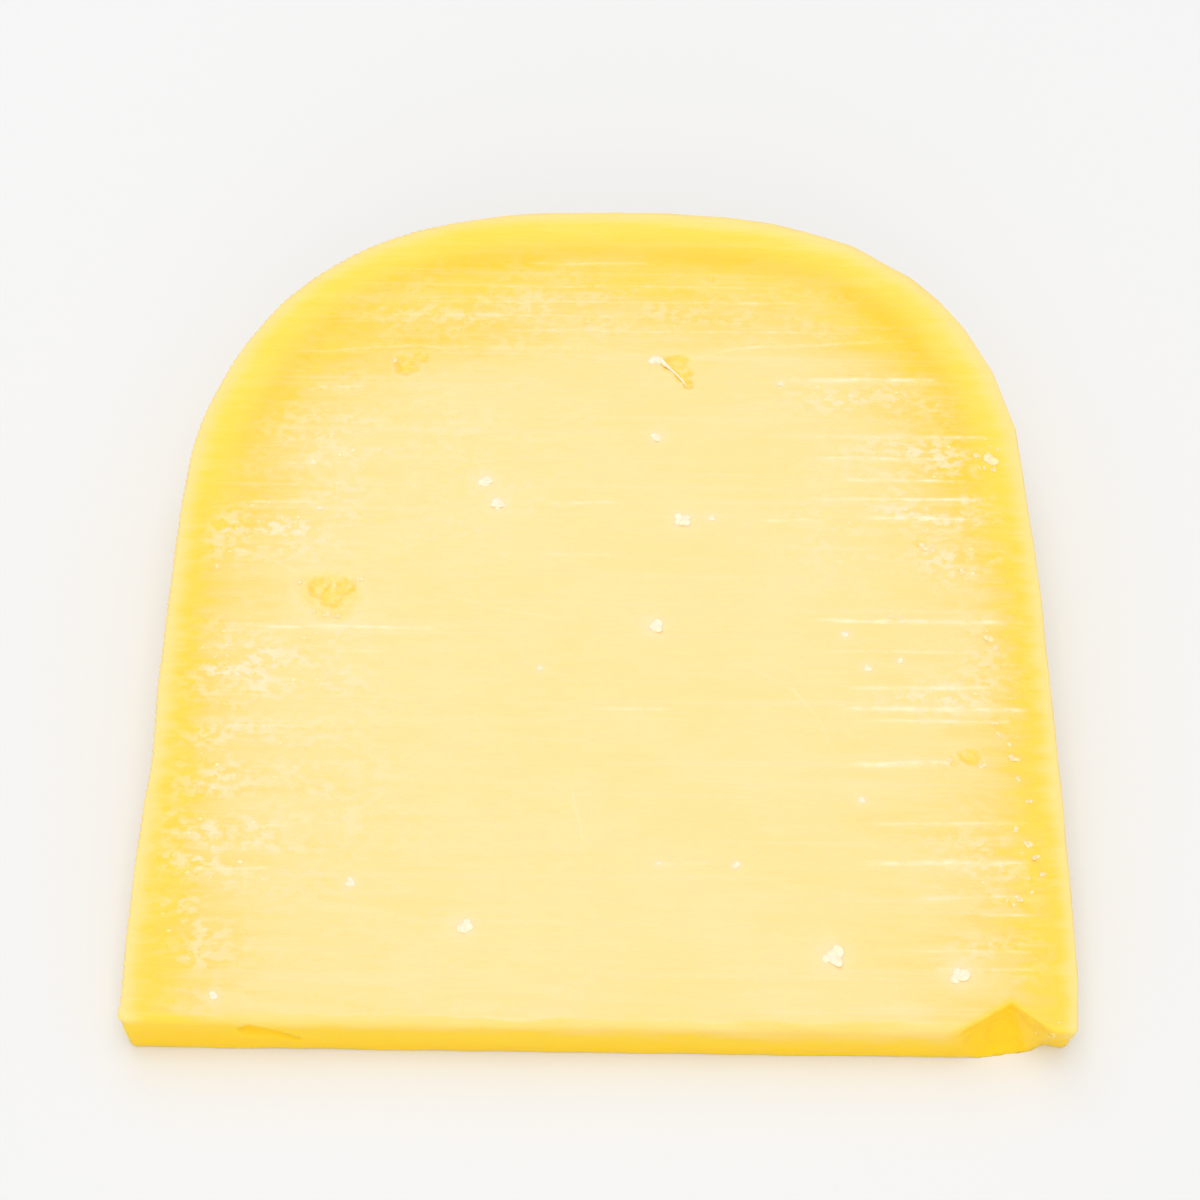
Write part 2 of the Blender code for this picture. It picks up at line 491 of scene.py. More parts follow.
def closed_outline(corner):
    """The whole outline of the cut face, anticlockwise, with its two front corners rounded."""
    line = rind_line()
    line = line[line[:, 1] >= corner]
    bend = np.linspace(0, math.pi / 2, 24)[1:]
    left = np.stack([line[-1, 0] + corner * (1 - np.cos(bend)), corner * (1 - np.sin(bend))], axis=-1)
    right = np.stack([line[0, 0] - corner * (1 - np.sin(bend)), corner * (1 - np.cos(bend))], axis=-1)
    front = np.linspace(left[-1], right[0], 1200)[1:-1]
    return np.concatenate([line, left, front, right[:-1]])


def column_spacing(points):
    """Finer columns where the press cloth marked the rind and where the corner is broken."""
    across, from_front = points[:, 0], points[:, 1]
    on_front = from_front < 0.5 * MM
    cloth = (across < -20 * MM) & ~on_front
    broken = on_front & (across > 40 * MM)
    nick = on_front & (across > -45 * MM) & (across < -34 * MM)
    spacing = np.where(on_front, 0.60 * MM, 0.55 * MM)
    spacing = np.where(cloth, 0.28 * MM, spacing)
    return np.where(broken | nick, 0.26 * MM, spacing)


def columns(corner):
    """Evenly walked outline: places, inward normals and the distance walked along it."""
    dense = closed_outline(corner)
    ring = np.vstack([dense, dense[:1]])
    steps = np.linalg.norm(np.diff(ring, axis=0), axis=1)
    walked = np.concatenate([[0], np.cumsum(steps)])
    count = np.concatenate([[0], np.cumsum(steps / column_spacing(dense))])
    total = int(round(count[-1]))
    wanted = np.interp(np.arange(total) * count[-1] / total, count, walked)
    points = np.stack([np.interp(wanted, walked, ring[:, axis]) for axis in (0, 1)], axis=-1)
    along = np.roll(points, -1, axis=0) - np.roll(points, 1, axis=0)
    along /= np.linalg.norm(along, axis=1)[:, None]
    inward = np.stack([-along[:, 1], along[:, 0]], axis=-1)
    return points, inward, wanted


def edge_radii(points, walked, settings):
    """How round the upper edge is at each column: more so, and less even, along the front."""
    front = smooth_step(3.0, 0.6, points[:, 1] / MM) * smooth_step(57.5, 54.5, np.abs(points[:, 0]) / MM)
    uneven = 1 + 0.30 * wander(walked, 6 * MM, settings.seed) + 0.15 * wander(walked, 2 * MM, settings.seed + 1)
    return (settings.edge_round * (1 - front) + settings.front_round * front) * uneven


WALL_ROWS = 13
BEND_STEPS = 5


def wall(points, inward, edge, low_edge):
    """The rind and the front cut: rows of places from the upper edge to the foot, and their drops."""
    height = (FRONT_RADIUS + points[:, 1]) * SLICE_ANGLE
    straight = height - edge - low_edge
    bends = [math.pi / 2 * step / BEND_STEPS for step in range(BEND_STEPS + 1)]
    rows = [(edge * (1 - math.sin(bend)), edge * (1 - math.cos(bend))) for bend in bends]
    shares = [(step / WALL_ROWS) ** 1.4 for step in range(1, WALL_ROWS)]
    rows += [(edge * 0, edge + share * straight) for share in shares]
    foot = edge + straight
    rows += [(edge * 0 + low_edge * (1 - math.sin(bend)), foot + low_edge * math.cos(bend)) for bend in reversed(bends)]
    grid = []
    for inset, drop in rows:
        spot = points + inward * inset[:, None]
        turn = SLICE_ANGLE * (1 - np.clip(drop / height, 0, 1))
        grid.append(place(spot[:, 0], spot[:, 1], turn))
    return np.array(grid), np.array([drop for _, drop in rows])


def lattice(size_across, size_back, box):
    """A flat grid of places inside a box, every other row shifted by half a step."""
    low_x, high_x, low_y, high_y = box
    xs = np.arange(low_x, high_x, size_across)
    ys = np.arange(low_y, high_y, size_back)
    grid_x, grid_y = np.meshgrid(xs, ys)
    grid_x = grid_x + (np.arange(len(ys)) % 2)[:, None] * size_across / 2
    return np.stack([grid_x.ravel(), grid_y.ravel()], axis=-1)


def in_zones(points, zones, rim=0.0):
    """Which points lie in any of some ellipses: across, from front and half widths in mm."""
    hit = np.zeros(len(points), bool)
    for x, y, wide, deep in zones:
        share_x = (points[:, 0] / MM - x) / (wide + rim)
        share_y = (points[:, 1] / MM - y) / (deep + rim)
        hit |= share_x**2 + share_y**2 < 1
    return hit


def fine_zones():
    """Places that need a fine grid, in mm: every eye and the broken corner."""
    zones = [(x, y, wide + 0.7, deep + 0.7) for x, y, wide, deep, depth, _ in EYES if wide < 4]
    return zones + [chip_zone()]


def chip_zone():
    """An ellipse in mm that holds the broken corner."""
    left, _, right, depth = CHIP_TOP
    return ((left + right) / 2, 0.0, (right - left) / 2 + 1.0, depth + 1.4)


def lies_inside(points, ring):
    """Whether each point lies inside a ring."""
    order = np.argsort(points[:, 1])
    across, from_front = points[order].T
    inside = np.zeros(len(points), bool)
    for start, end in zip(ring, np.roll(ring, -1, axis=0)):
        low, high = sorted((start[1], end[1]))
        if high > low:
            near = slice(*np.searchsorted(from_front, (low, high)))
            share = (from_front[near] - start[1]) / (end[1] - start[1])
            inside[order[near]] ^= across[near] < start[0] + share * (end[0] - start[0])
    return inside


def inside_outline(points, ring, gap):
    """The points that lie inside a ring, at least a gap away from it."""
    points = points[lies_inside(points, ring)]
    return points[distance_to(points, ring) > gap]


def mark_line(order, low, high, spots):
    """A knife mark walked in half millimetres: its places in mm, and how strong it is there."""
    start, end = np.array(low, float), np.array(high, float)
    length = float(np.linalg.norm(end - start))
    steps = np.linspace(0, 1, max(4, int(length / 0.5)))
    line = start + (end - start) * steps[:, None]
    if spots is not None:
        bent = np.array(spots, float)
        share = np.linspace(0, 1, len(bent))
        line = np.stack([np.interp(steps, share, bent[:, axis]) for axis in (0, 1)], axis=-1)
        line = (np.vstack([line[:1], line[:-1]]) + line + np.vstack([line[1:], line[-1:]])) / 3
    line[:, 1] += 0.12 * wander(line[:, 0], 7.0, 40 + order)
    ends = smooth_step(0, 0.22, steps) * smooth_step(1, 0.80, steps)
    beads = 0.62 + 0.38 * wander(line[:, 0], 0.8, 80 + order) + 0.25 * wander(line[:, 0], 3.0, 120 + order)
    return line, ends * np.clip(beads, 0.1, 1.0)


def knife_marks():
    """Every mark of the knife: places in mm, strength along it, and half its width in mm."""
    marks = []
    for order, (back, low, high, width) in enumerate(KNIFE_BURRS):
        line, strength = mark_line(order, (low, back), (high, back + 0.15), None)
        marks.append((line, strength * min(1.0, width / 0.20), 0.10 + width * 0.9))
    for order, (width, spots) in enumerate(BENT_MARKS):
        line, strength = mark_line(60 + order, spots[0], spots[-1], spots)
        marks.append((line, strength * min(1.0, width / 0.20), 0.10 + width * 0.8))
    return marks


def mark_lattice(marks):
    """Rows of places along every mark, close enough to carry its ridge."""
    rows = []
    for line, _, half in marks:
        way = np.gradient(line, axis=0)
        side = np.stack([-way[:, 1], way[:, 0]], axis=-1) / np.linalg.norm(way, axis=1)[:, None]
        rows += [line + side * shift for shift in (-1.6 * half, -0.7 * half, 0.0, 0.7 * half, 1.6 * half)]
    return np.concatenate(rows) * MM


def mark_field(marks, across, from_front):
    """How much dragged paste lies at each place, 0 to 1."""
    spots = np.stack([across, from_front], axis=-1) / MM
    total = np.zeros(len(spots))
    for line, strength, half in marks:
        reach = 3 * half
        low, high = line.min(0) - reach, line.max(0) + reach
        near = np.where(((spots > low) & (spots < high)).all(1))[0]
        if len(near) == 0:
            continue
        square = ((spots[near][:, None, :] - line[None, :, :]) ** 2).sum(-1)
        best = square.argmin(1)
        ahead = np.clip(best + 1, 0, len(line) - 1)
        way = line[ahead] - line[best]
        length = np.maximum((way**2).sum(1), 1e-6)
        share = np.clip(((spots[near] - line[best]) * way).sum(1) / length, -1, 1)
        gap = np.linalg.norm(spots[near] - line[best] - way * share[:, None], axis=1)
        value = strength[best] * np.exp(-((gap / half) ** 2))
        total[near] = np.maximum(total[near], value)
    return total


def top_places(ring, marks, settings):
    """Places inside the upper cut face, close together in the eyes and at the marks."""
    box = (ring[:, 0].min(), ring[:, 0].max(), ring[:, 1].min(), ring[:, 1].max())
    coarse = lattice(settings.grid_across, settings.grid_back, box)
    fine = lattice(settings.grid_fine, settings.grid_fine, box)
    zones = fine_zones()
    lines = mark_lattice(marks)
    lines = lines[~in_zones(lines, zones)]
    coarse = coarse[~in_zones(coarse, zones, 0.25)]
    coarse = coarse[distance_to(coarse, lines) > 0.22 * MM]
    fine = fine[in_zones(fine, zones)]
    coarse = inside_outline(coarse, ring, 0.30 * MM)
    fine = inside_outline(fine, ring, 0.15 * MM)
    lines = inside_outline(lines, ring, 0.30 * MM)
    return np.concatenate([coarse, fine, lines])


def low_places(ring):
    """Places inside the lower cut face, close together only at the broken corner."""
    box = (ring[:, 0].min(), ring[:, 0].max(), ring[:, 1].min(), ring[:, 1].max())
    coarse = lattice(3 * MM, 3 * MM, box)
    fine = lattice(0.4 * MM, 0.4 * MM, box)
    coarse = coarse[~in_zones(coarse, [chip_zone()], 0.8)]
    fine = fine[in_zones(fine, [chip_zone()])]
    return np.concatenate([inside_outline(coarse, ring, 0.8 * MM), inside_outline(fine, ring, 0.2 * MM)])


def filled(ring, inner):
    """Triangles that join a ring and the places inside it; the ring's points come first."""
    flat = np.concatenate([ring, inner]) / MM
    border = [(index, (index + 1) % len(ring)) for index in range(len(ring))]
    result = delaunay_2d_cdt([Vector(point) for point in flat], border, [], 1, 1e-5, True)
    source = np.array([origin[0] for origin in result[3]])
    faces = source[np.array(result[2])]
    middles = flat[faces].mean(axis=1)
    return faces[lies_inside(middles, ring / MM)]


def eye_relief(across, from_front):
    """How the eyes change the cut face: height, how much skin and painted shade of the hollow shows, and the pale lip.
    """
    drop = np.zeros_like(across)
    skin = np.zeros_like(across)
    lip = np.zeros_like(across)
    for order, (x, y, half_x, half_y, depth, rise) in enumerate(EYES):
        way_x = (across / MM - x) / half_x
        way_y = (from_front / MM - y) / half_y
        angle = np.arctan2(way_y, way_x)
        wobble = 1 + 0.09 * np.sin(2 * angle + order) + 0.08 * np.sin(3 * angle + 2 * order)
        wobble += 0.05 * np.sin(7 * angle + 3 * order)
        out = np.hypot(way_x, way_y) / wobble
        drop = np.maximum(drop, 0.6 * depth * smooth_step(1.05, 0.30, out))
        # The skin share grows with the eye's depth, so it is partly painted shade of the hollow.
        skin = np.maximum(skin, min(1.0, 1.7 * depth) * smooth_step(1.02, 0.66, out))
        lip = np.maximum(lip, 0.6 * rise * np.exp(-(((out - 1.12) / 0.16) ** 2)))
    pale = smooth_step(0.01, 0.07, lip) * (skin < 0.3)
    return (lip * (skin < 0.4) - drop) * MM, skin, pale


def restart_step(across, from_front):
    """The low step where the knife stopped and started again."""
    bent = 100.4 + 1.2 * np.tanh((across / MM - 18) / 9) * (across > 0)
    dip = 1.3 * np.exp(-(((across / MM - 11.5) / 2.5) ** 2))
    beyond = smooth_step(-0.35, 0.35, from_front / MM - (bent - dip))
    fade = smooth_step(52, 44, np.abs(across / MM))
    return 0.11 * MM * beyond * fade


def chip_sections(across):
    """Depth of the broken corner's two flats at each place across: above and at the foot."""
    depths = []
    for left, crease, right, depth in (CHIP_TOP, CHIP_FOOT):
        rise = (across / MM - left) / (crease - left)
        fall = (right - across / MM) / (right - crease)
        depths.append(np.minimum(rise, fall) * depth * MM)
    return depths


def break_corner(points, seed):
    """Fold the front right corner back onto the two flats of the break."""
    across = points[:, 0]
    from_front = points[:, 1] - WEDGE_LOW.y
    above = (FRONT_RADIUS + from_front) * math.tan(SLICE_ANGLE)
    full = FRONT_RADIUS * math.tan(SLICE_ANGLE)
    drop = above - points[:, 2]
    top, foot = chip_sections(across)
    through = foot > 0
    end_back = np.where(through, foot, 0.0)
    end_drop = np.where(through, full, full * top / np.maximum(top - foot, 1e-9))
    length = np.maximum(top + end_drop + end_back, 1e-9)
    upper = points[:, 2] > full / 2
    walked = top - np.where(upper, from_front, -from_front) + drop
    share = walked / length
    hit = (top > 0.02 * MM) & (share > 0) & (share < 1) & (from_front < 6 * MM)
    hollow = CHIP_HOLLOW * MM * np.sin(math.pi * np.clip(share, 0, 1)) * smooth_step(0, 1.5 * MM, top)
    hollow *= 1 + 0.5 * wander(across, 1.3 * MM, seed)
    back = top + (end_back - top) * share + hollow
    start_height = (FRONT_RADIUS + top) * math.tan(SLICE_ANGLE)
    height = start_height + (full - end_drop - start_height) * share
    moved = points.copy()
    moved[hit, 1] = (WEDGE_LOW.y + back)[hit]
    moved[hit, 2] = height[hit]
    reach = (top * points[:, 2] / full + foot * (1 - points[:, 2] / full) - from_front) / MM
    return moved, np.where(from_front < 6 * MM, smooth_step(-1.2, 0.6, reach), 0.0)


def crease_side(points):
    """How far a place lies to the right of the break's crease, in mm."""
    share = np.clip(points[:, 2] / (FRONT_RADIUS * math.tan(SLICE_ANGLE)), 0, 1)
    return points[:, 0] / MM - (CHIP_FOOT[1] * (1 - share) + CHIP_TOP[1] * share)


def undercut(points):
    """Set back the foot of the corner beyond the break."""
    spots = np.array(UNDERCUT)
    deepest = np.interp(points[:, 0] / MM, spots[:, 0], spots[:, 1], left=0.0) * MM
    from_front = points[:, 1] - WEDGE_LOW.y
    low = 1 - np.clip(points[:, 2] / (FRONT_RADIUS * math.tan(SLICE_ANGLE)), 0, 1) ** 1.3
    moved = points.copy()
    moved[:, 1] += deepest * low * np.clip(1 - from_front / (6 * MM), 0, 1)
    return moved


def nick_share(across, drop):
    """How deep in the nick a place on the front lies, 0 to 1; it thins out towards its right end."""
    along = (across / MM - NICK_START) / NICK_LENGTH
    middle = NICK_DROPS[0] + (NICK_DROPS[1] - NICK_DROPS[0]) * np.clip(along, 0, 1) ** 2
    half = NICK_HALF * np.clip(1.15 - along, 0.12, 1) * smooth_step(0.0, 0.22, along) + 1e-6
    away = np.abs(drop / MM - middle) / half
    return np.clip(1 - away**2, 0, 1) * ((along > 0) & (along < 1))


def rind_facts(across, from_front):
    """How far in from the rind a place lies, how far below the dry layer, and how ripe it is."""
    flat = np.stack([across, from_front], axis=-1)
    gap = distance_to(flat, rind_line()[::6]) / MM
    shoulder = smooth_step(58, 92, from_front / MM)
    uneven = 1 + 0.10 * wander(across + from_front, 9 * MM, 5)
    right = smooth_step(0, 30, across / MM) * smooth_step(40, 10, from_front / MM)
    widened = 1.2 * shoulder * smooth_step(2, 8, gap) * (1 - 0.6 * smooth_step(12, 26, gap))
    widened += 0.9 * smooth_step(98, 102, from_front / MM) * smooth_step(8, 16, gap)
    widened += bump_sum([(-30.0, 102.0, 15.0, 6.0, 1.5)], across, from_front) * smooth_step(4, 12, gap)
    ripe = shoulder * smooth_step(13, 8, gap)
    ripe = np.maximum(ripe, bump_sum([(-30.0, 103.0, 15.0, 5.0, 0.9)], across, from_front))
    widened += 0.38 * smooth_step(48, 22, from_front / MM) * smooth_step(2, 6, gap)
    right *= smooth_step(5, 2.5, gap)
    rim = smooth_step(70, 100, from_front / MM) * smooth_step(-20, 20, across / MM) * smooth_step(6, 2, gap)
    dry = np.minimum(gap * uneven / (1 + widened + 0.22 * rim - 0.22 * right), 12 + 2 * from_front / MM)
    dry = dry / (1 + 0.10 * smooth_step(3, 6, gap) * smooth_step(20, 12, gap))
    return gap, dry, ripe * smooth_step(3.5, 8.5, gap)


def bump_sum(places, across, from_front):
    """The strongest of soft spots: across, from front, reach across, reach back and strength, in mm."""
    total = np.zeros_like(across)
    for x, y, wide, deep, strength in places:
        spot = ((across / MM - x) / wide) ** 2 + ((from_front / MM - y) / deep) ** 2
        total = np.maximum(total, strength * np.exp(-spot))
    return total


def add_field(mesh, name, values):
    """Store one number for each vertex."""
    field = mesh.attributes.new(name, "FLOAT", "POINT")
    field.data.foreach_set("value", np.asarray(values, np.float32))


def plain_mesh(name, points, faces):
    """A mesh from places and faces."""
    mesh = bpy.data.meshes.new(name)
    mesh.from_pydata([tuple(point) for point in points], [], faces)
    mesh.update()
    return mesh


def strip_faces(rows, count):
    """Faces of a closed wall of rows."""
    faces = []
    for row in range(rows - 1):
        upper, lower = row * count, (row + 1) * count
        for column in range(count):
            after = (column + 1) % count
            faces.append((lower + column, lower + after, upper + after, upper + column))
    return faces


def wedge_mesh(settings):
    """The wedge as one closed mesh with the fields that its relief and colours read."""
    outline, inward, walked = columns(settings.corner_round)
    count = len(outline)
    edge = edge_radii(outline, walked, settings)
    low_edge = 0.35 * MM
    grid, drops = wall(outline, inward, edge, low_edge)
    rows = len(grid)
    ring = outline + inward * edge[:, None]
    low_ring = outline + inward * low_edge
    marks = knife_marks()
    inner_top = top_places(ring, marks, settings)
    inner_low = low_places(low_ring)
    tops = on_cut(inner_top[:, 0], inner_top[:, 1])
    lows = place(inner_low[:, 0], inner_low[:, 1], 0.0)
    points = np.concatenate([grid.reshape(-1, 3), tops, lows])
    flat = np.concatenate([np.tile(outline, (rows, 1)), inner_top, inner_low])
    flat[:count] = ring

    first_top, first_low = rows * count, rows * count + len(inner_top)
    walls = strip_faces(rows, count)
    top_index = np.concatenate([np.arange(count), np.arange(first_top, first_low)])
    low_index = np.concatenate([np.arange((rows - 1) * count, rows * count), np.arange(first_low, len(points))])
    top_faces = [tuple(int(top_index[c]) for c in face) for face in filled(ring, inner_top)]
    low_faces = [tuple(int(low_index[c]) for c in reversed(face)) for face in filled(low_ring, inner_low)]

    across, from_front = flat[:, 0], flat[:, 1]
    is_top = np.zeros(len(points), bool)
    is_top[:count] = True
    is_top[first_top:first_low] = True
    relief, skin, lip = eye_relief(across, from_front)
    drag = mark_field(marks, across, from_front) * is_top * (1 - skin)
    relief = (relief + restart_step(across, from_front) + settings.burr_height * drag) * is_top
    normal = np.array([0.0, -math.sin(SLICE_ANGLE), math.cos(SLICE_ANGLE)])
    points = points + relief[:, None] * normal
    points = corner_burr(points)
    points, chipped = break_corner(points, settings.seed)
    points = undercut(points)

    on_front = np.zeros(len(points), bool)
    on_front[: rows * count] = np.tile(outline[:, 1] < 0.8 * settings.corner_round, rows)
    drop = np.concatenate([drops.ravel(), np.zeros(len(points) - rows * count)])
    nick = nick_share(across, drop) * on_front
    points = points + (NICK_DEPTH * MM * nick)[:, None] * np.array([0.0, 1.0, 0.0])
    mesh = plain_mesh("wedge_body", points, walls + top_faces + low_faces)
    in_wall = np.zeros(len(points), bool)
    in_wall[2 * count : (rows - 1) * count] = True
    gap, dry, ripe = rind_facts(across, from_front)
    smear = bump_sum(SMEARS, across, from_front) + 0.08 * smooth_step(2, 8, gap) * (across < 0) + 0.03
    halos = [(x, y, size * 1.5, size * 1.6, 1.0) for x, y, size in CRYSTALS]
    fields = {
        "gap": gap,
        "dry": dry,
        "ripe": ripe,
        "high": smooth_step(58, 92, from_front / MM),
        "drop": drop / MM,
        # eye: the eyes' skin colour, partly painted shade of their hollows.
        "eye": skin * is_top,
        "lip": lip * is_top,
        "drag": drag,
        "broken": chipped,
        "side": crease_side(points),
        "nick": nick,
        # corner: near the front; carries the front cut's painted shade onto the rind's corners, and stops the weave
        # there.
        "corner": smooth_step(3.2, 1.2, from_front / MM),
        "smear": smear * is_top * smooth_step(1.0, 4.0, gap / (1 + 2 * smooth_step(60, 95, from_front / MM))),
        "halo": bump_sum(halos, across, from_front) * is_top,
        "knife": smooth_step(0.3, 2.0, gap) * is_top * (1 - skin),
        "pit": skin * is_top,
        "front": (in_wall & on_front).astype(float),
        "rind": (in_wall & ~on_front).astype(float),
        "cloth": (in_wall & ~on_front) * smooth_step(-14, -32, across / MM),
        "along": np.concatenate([np.tile(walked, rows), np.zeros(len(points) - rows * count)]),
        "up": points[:, 2],
    }
    for name, values in fields.items():
        add_field(mesh, name, values)
    paint_faces(mesh, len(walls), count, rows, on_front)
    return mesh


def corner_burr(points):
    """Draw a small tip out of the upper front left corner, where the knife came out."""
    corner = on_cut(-HALF_WIDTH, 0.6 * MM)
    away = np.linalg.norm(points - corner, axis=1)
    pull = np.exp(-((away / (0.9 * MM)) ** 2))[:, None]
    return points + pull * np.array([-0.45, -0.10, 0.05]) * MM


def paint_faces(mesh, wall_faces, count, rows, on_front):
    """Mark the faces of the rind's skin and of the short front cut."""
    row = np.arange(wall_faces) // count
    column = np.arange(wall_faces) % count
    front = on_front[column] & on_front[(column + 1) % count]
    skin = (row >= 1) & (row < rows - 2)
    for name, marked in (("skin", skin & ~front), ("short_cut", front)):
        values = np.zeros(len(mesh.polygons))
        values[:wall_faces] = marked
        mesh.attributes.new(name, "FLOAT", "FACE").data.foreach_set("value", values)
    mesh.polygons.foreach_set("use_smooth", np.ones(len(mesh.polygons), bool))
    mesh.update()


# ---------------------------------------------------------------------------
# Node helpers
# ---------------------------------------------------------------------------


def add_node(tree, kind, inputs=None, **options):
    """Add a node, set its options, and give its inputs values or links."""
    made = tree.nodes.new(kind)
    for name, value in options.items():
        setattr(made, name, value)
    for name, value in (inputs or {}).items():
        if isinstance(value, bpy.types.NodeSocket):
            tree.links.new(value, made.inputs[name])
        else:
            made.inputs[name].default_value = value
    return made


def maths(tree, operation, first, second=None, third=None, clamp=False):
    """One step of arithmetic on numbers or sockets."""
    values = {0: first}
    if second is not None:
        values[1] = second
    if third is not None:
        values[2] = third
    return add_node(tree, "ShaderNodeMath", values, operation=operation, use_clamp=clamp).outputs[0]


def ramp(tree, value, low, high, to_low=0.0, to_high=1.0):
    """A smooth change from to_low to to_high while value goes from low to high."""
    inputs = {"Value": value, "From Min": low, "From Max": high, "To Min": to_low, "To Max": to_high}
    made = add_node(tree, "ShaderNodeMapRange", inputs, interpolation_type="SMOOTHSTEP")
    return made.outputs[0]


def stretched_noise(tree, place_socket, scale, detail=3.0, roughness=0.55, shift=(0.0, 0.0, 0.0)):
    """Noise on scaled places, in waves per metre along each axis."""
    scaled = add_node(tree, "ShaderNodeVectorMath", {0: place_socket, 1: scale}, operation="MULTIPLY")
    moved = add_node(tree, "ShaderNodeVectorMath", {0: scaled.outputs[0], 1: shift}, operation="ADD")
    values = {"Vector": moved.outputs[0], "Scale": 1.0, "Detail": detail, "Roughness": roughness}
    return add_node(tree, "ShaderNodeTexNoise", values).outputs[0]


def mixed(tree, factor, first, second, blend="MIX"):
    """Mix two colours."""
    made = add_node(tree, "ShaderNodeMix", {0: factor}, data_type="RGBA", blend_type=blend)
    for socket, value in ((made.inputs[6], first), (made.inputs[7], second)):
        if isinstance(value, bpy.types.NodeSocket):
            tree.links.new(value, socket)
        else:
            socket.default_value = (*value, 1.0)
    return made.outputs[2]


def geometry_tree(name, inputs):
    """An empty Geometry Nodes tree with named inputs; gives the tree and its input sockets."""
    tree = bpy.data.node_groups.new(name, "GeometryNodeTree")
    tree.interface.new_socket(name="Geometry", in_out="INPUT", socket_type="NodeSocketGeometry")
    for label, kind in inputs:
        tree.interface.new_socket(name=label, in_out="INPUT", socket_type=kind)
    tree.interface.new_socket(name="Geometry", in_out="OUTPUT", socket_type="NodeSocketGeometry")
    return tree, tree.nodes.new("NodeGroupInput").outputs


def close_tree(tree, geometry, coats):
    """Realize whatever the tree made, set its materials and give it out."""
    ready = add_node(tree, "GeometryNodeRealizeInstances", {"Geometry": geometry}).outputs[0]
    for material, chosen in coats:
        values = {"Geometry": ready, "Material": material}
        if chosen is not None:
            values["Selection"] = chosen
        ready = add_node(tree, "GeometryNodeSetMaterial", values).outputs[0]
    add_node(tree, "NodeGroupOutput", {"Geometry": ready})


def field(tree, name):
    """A number stored on the vertices, inside a geometry tree."""
    return add_node(tree, "GeometryNodeInputNamedAttribute", {"Name": name}, data_type="FLOAT").outputs[0]


def grown(name, mesh, tree, values):
    """Run a tree over a mesh and keep what it makes as a plain mesh on a new object."""
    carrier = bpy.data.objects.new(name + "_carrier", mesh)
    bpy.context.scene.collection.objects.link(carrier)
    modifier = carrier.modifiers.new(tree.name, "NODES")
    modifier.node_group = tree
    for item in tree.interface.items_tree:
        if item.in_out == "INPUT" and item.name in values:
            modifier[item.identifier] = values[item.name]
    depsgraph = bpy.context.evaluated_depsgraph_get()
    ready = carrier.evaluated_get(depsgraph)
    made = bpy.data.meshes.new_from_object(ready, preserve_all_data_layers=True, depsgraph=depsgraph)
    made.name = name
    bpy.data.objects.remove(carrier)
    if not made.polygons:
        raise RuntimeError("Nothing was made for " + name)
    piece = bpy.data.objects.new(name, made)
    bpy.context.scene.collection.objects.link(piece)
    return piece


def finish_piece(piece):
    """Fix a finished piece to the wedge's one body."""
    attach(piece, "root")
    return piece


# ---------------------------------------------------------------------------
# Materials
# ---------------------------------------------------------------------------


def new_material(name, roughness, subsurface, subsurface_reach=2.5 * MM):
    """A cheese-like shader: soft light under the surface and a waxy sheen."""
    material = bpy.data.materials.new(name)
    material.use_nodes = True
    tree = material.node_tree
    shader = tree.nodes["Principled BSDF"]
    shader.inputs["Roughness"].default_value = roughness
    shader.inputs["Subsurface Weight"].default_value = subsurface
    shader.inputs["Subsurface Scale"].default_value = subsurface_reach
    shader.inputs["Subsurface Radius"].default_value = (1.0, 0.62, 0.22)
    shader.inputs["Specular IOR Level"].default_value = 0.3
    return material, tree, shader


def stored(tree, name):
    """A number stored on the vertices, inside a material."""
    return add_node(tree, "ShaderNodeAttribute", attribute_name=name).outputs["Fac"]


def object_place(tree):
    """Places on the piece itself."""
    return add_node(tree, "ShaderNodeTexCoord").outputs["Object"]


def bump(tree, shader, heights, distance):
    """Give the shader a fine relief."""
    values = {"Strength": 1.0, "Distance": distance, "Height": heights}
    made = add_node(tree, "ShaderNodeBump", values)
    tree.links.new(made.outputs[0], shader.inputs["Normal"])


def scaled(tree, value, factor):
    """A number times another."""
    return maths(tree, "MULTIPLY", value, factor)


def colour_steps(tree, value, reach, steps):
    """A smooth change through several colours while value goes from 0 to reach."""
    made = add_node(tree, "ShaderNodeValToRGB", {"Fac": maths(tree, "DIVIDE", value, reach)})
    band = made.color_ramp
    band.interpolation = "B_SPLINE"
    while len(band.elements) < len(steps):
        band.elements.new(0.5)
    for element, (spot, colour) in zip(band.elements, steps):
        element.position = spot / reach
        element.color = (*colour, 1.0)
    return made.outputs["Color"]


def blend_of(first, second, share):
    """A colour between two."""
    return tuple(a * (1 - share) + b * share for a, b in zip(first, second))


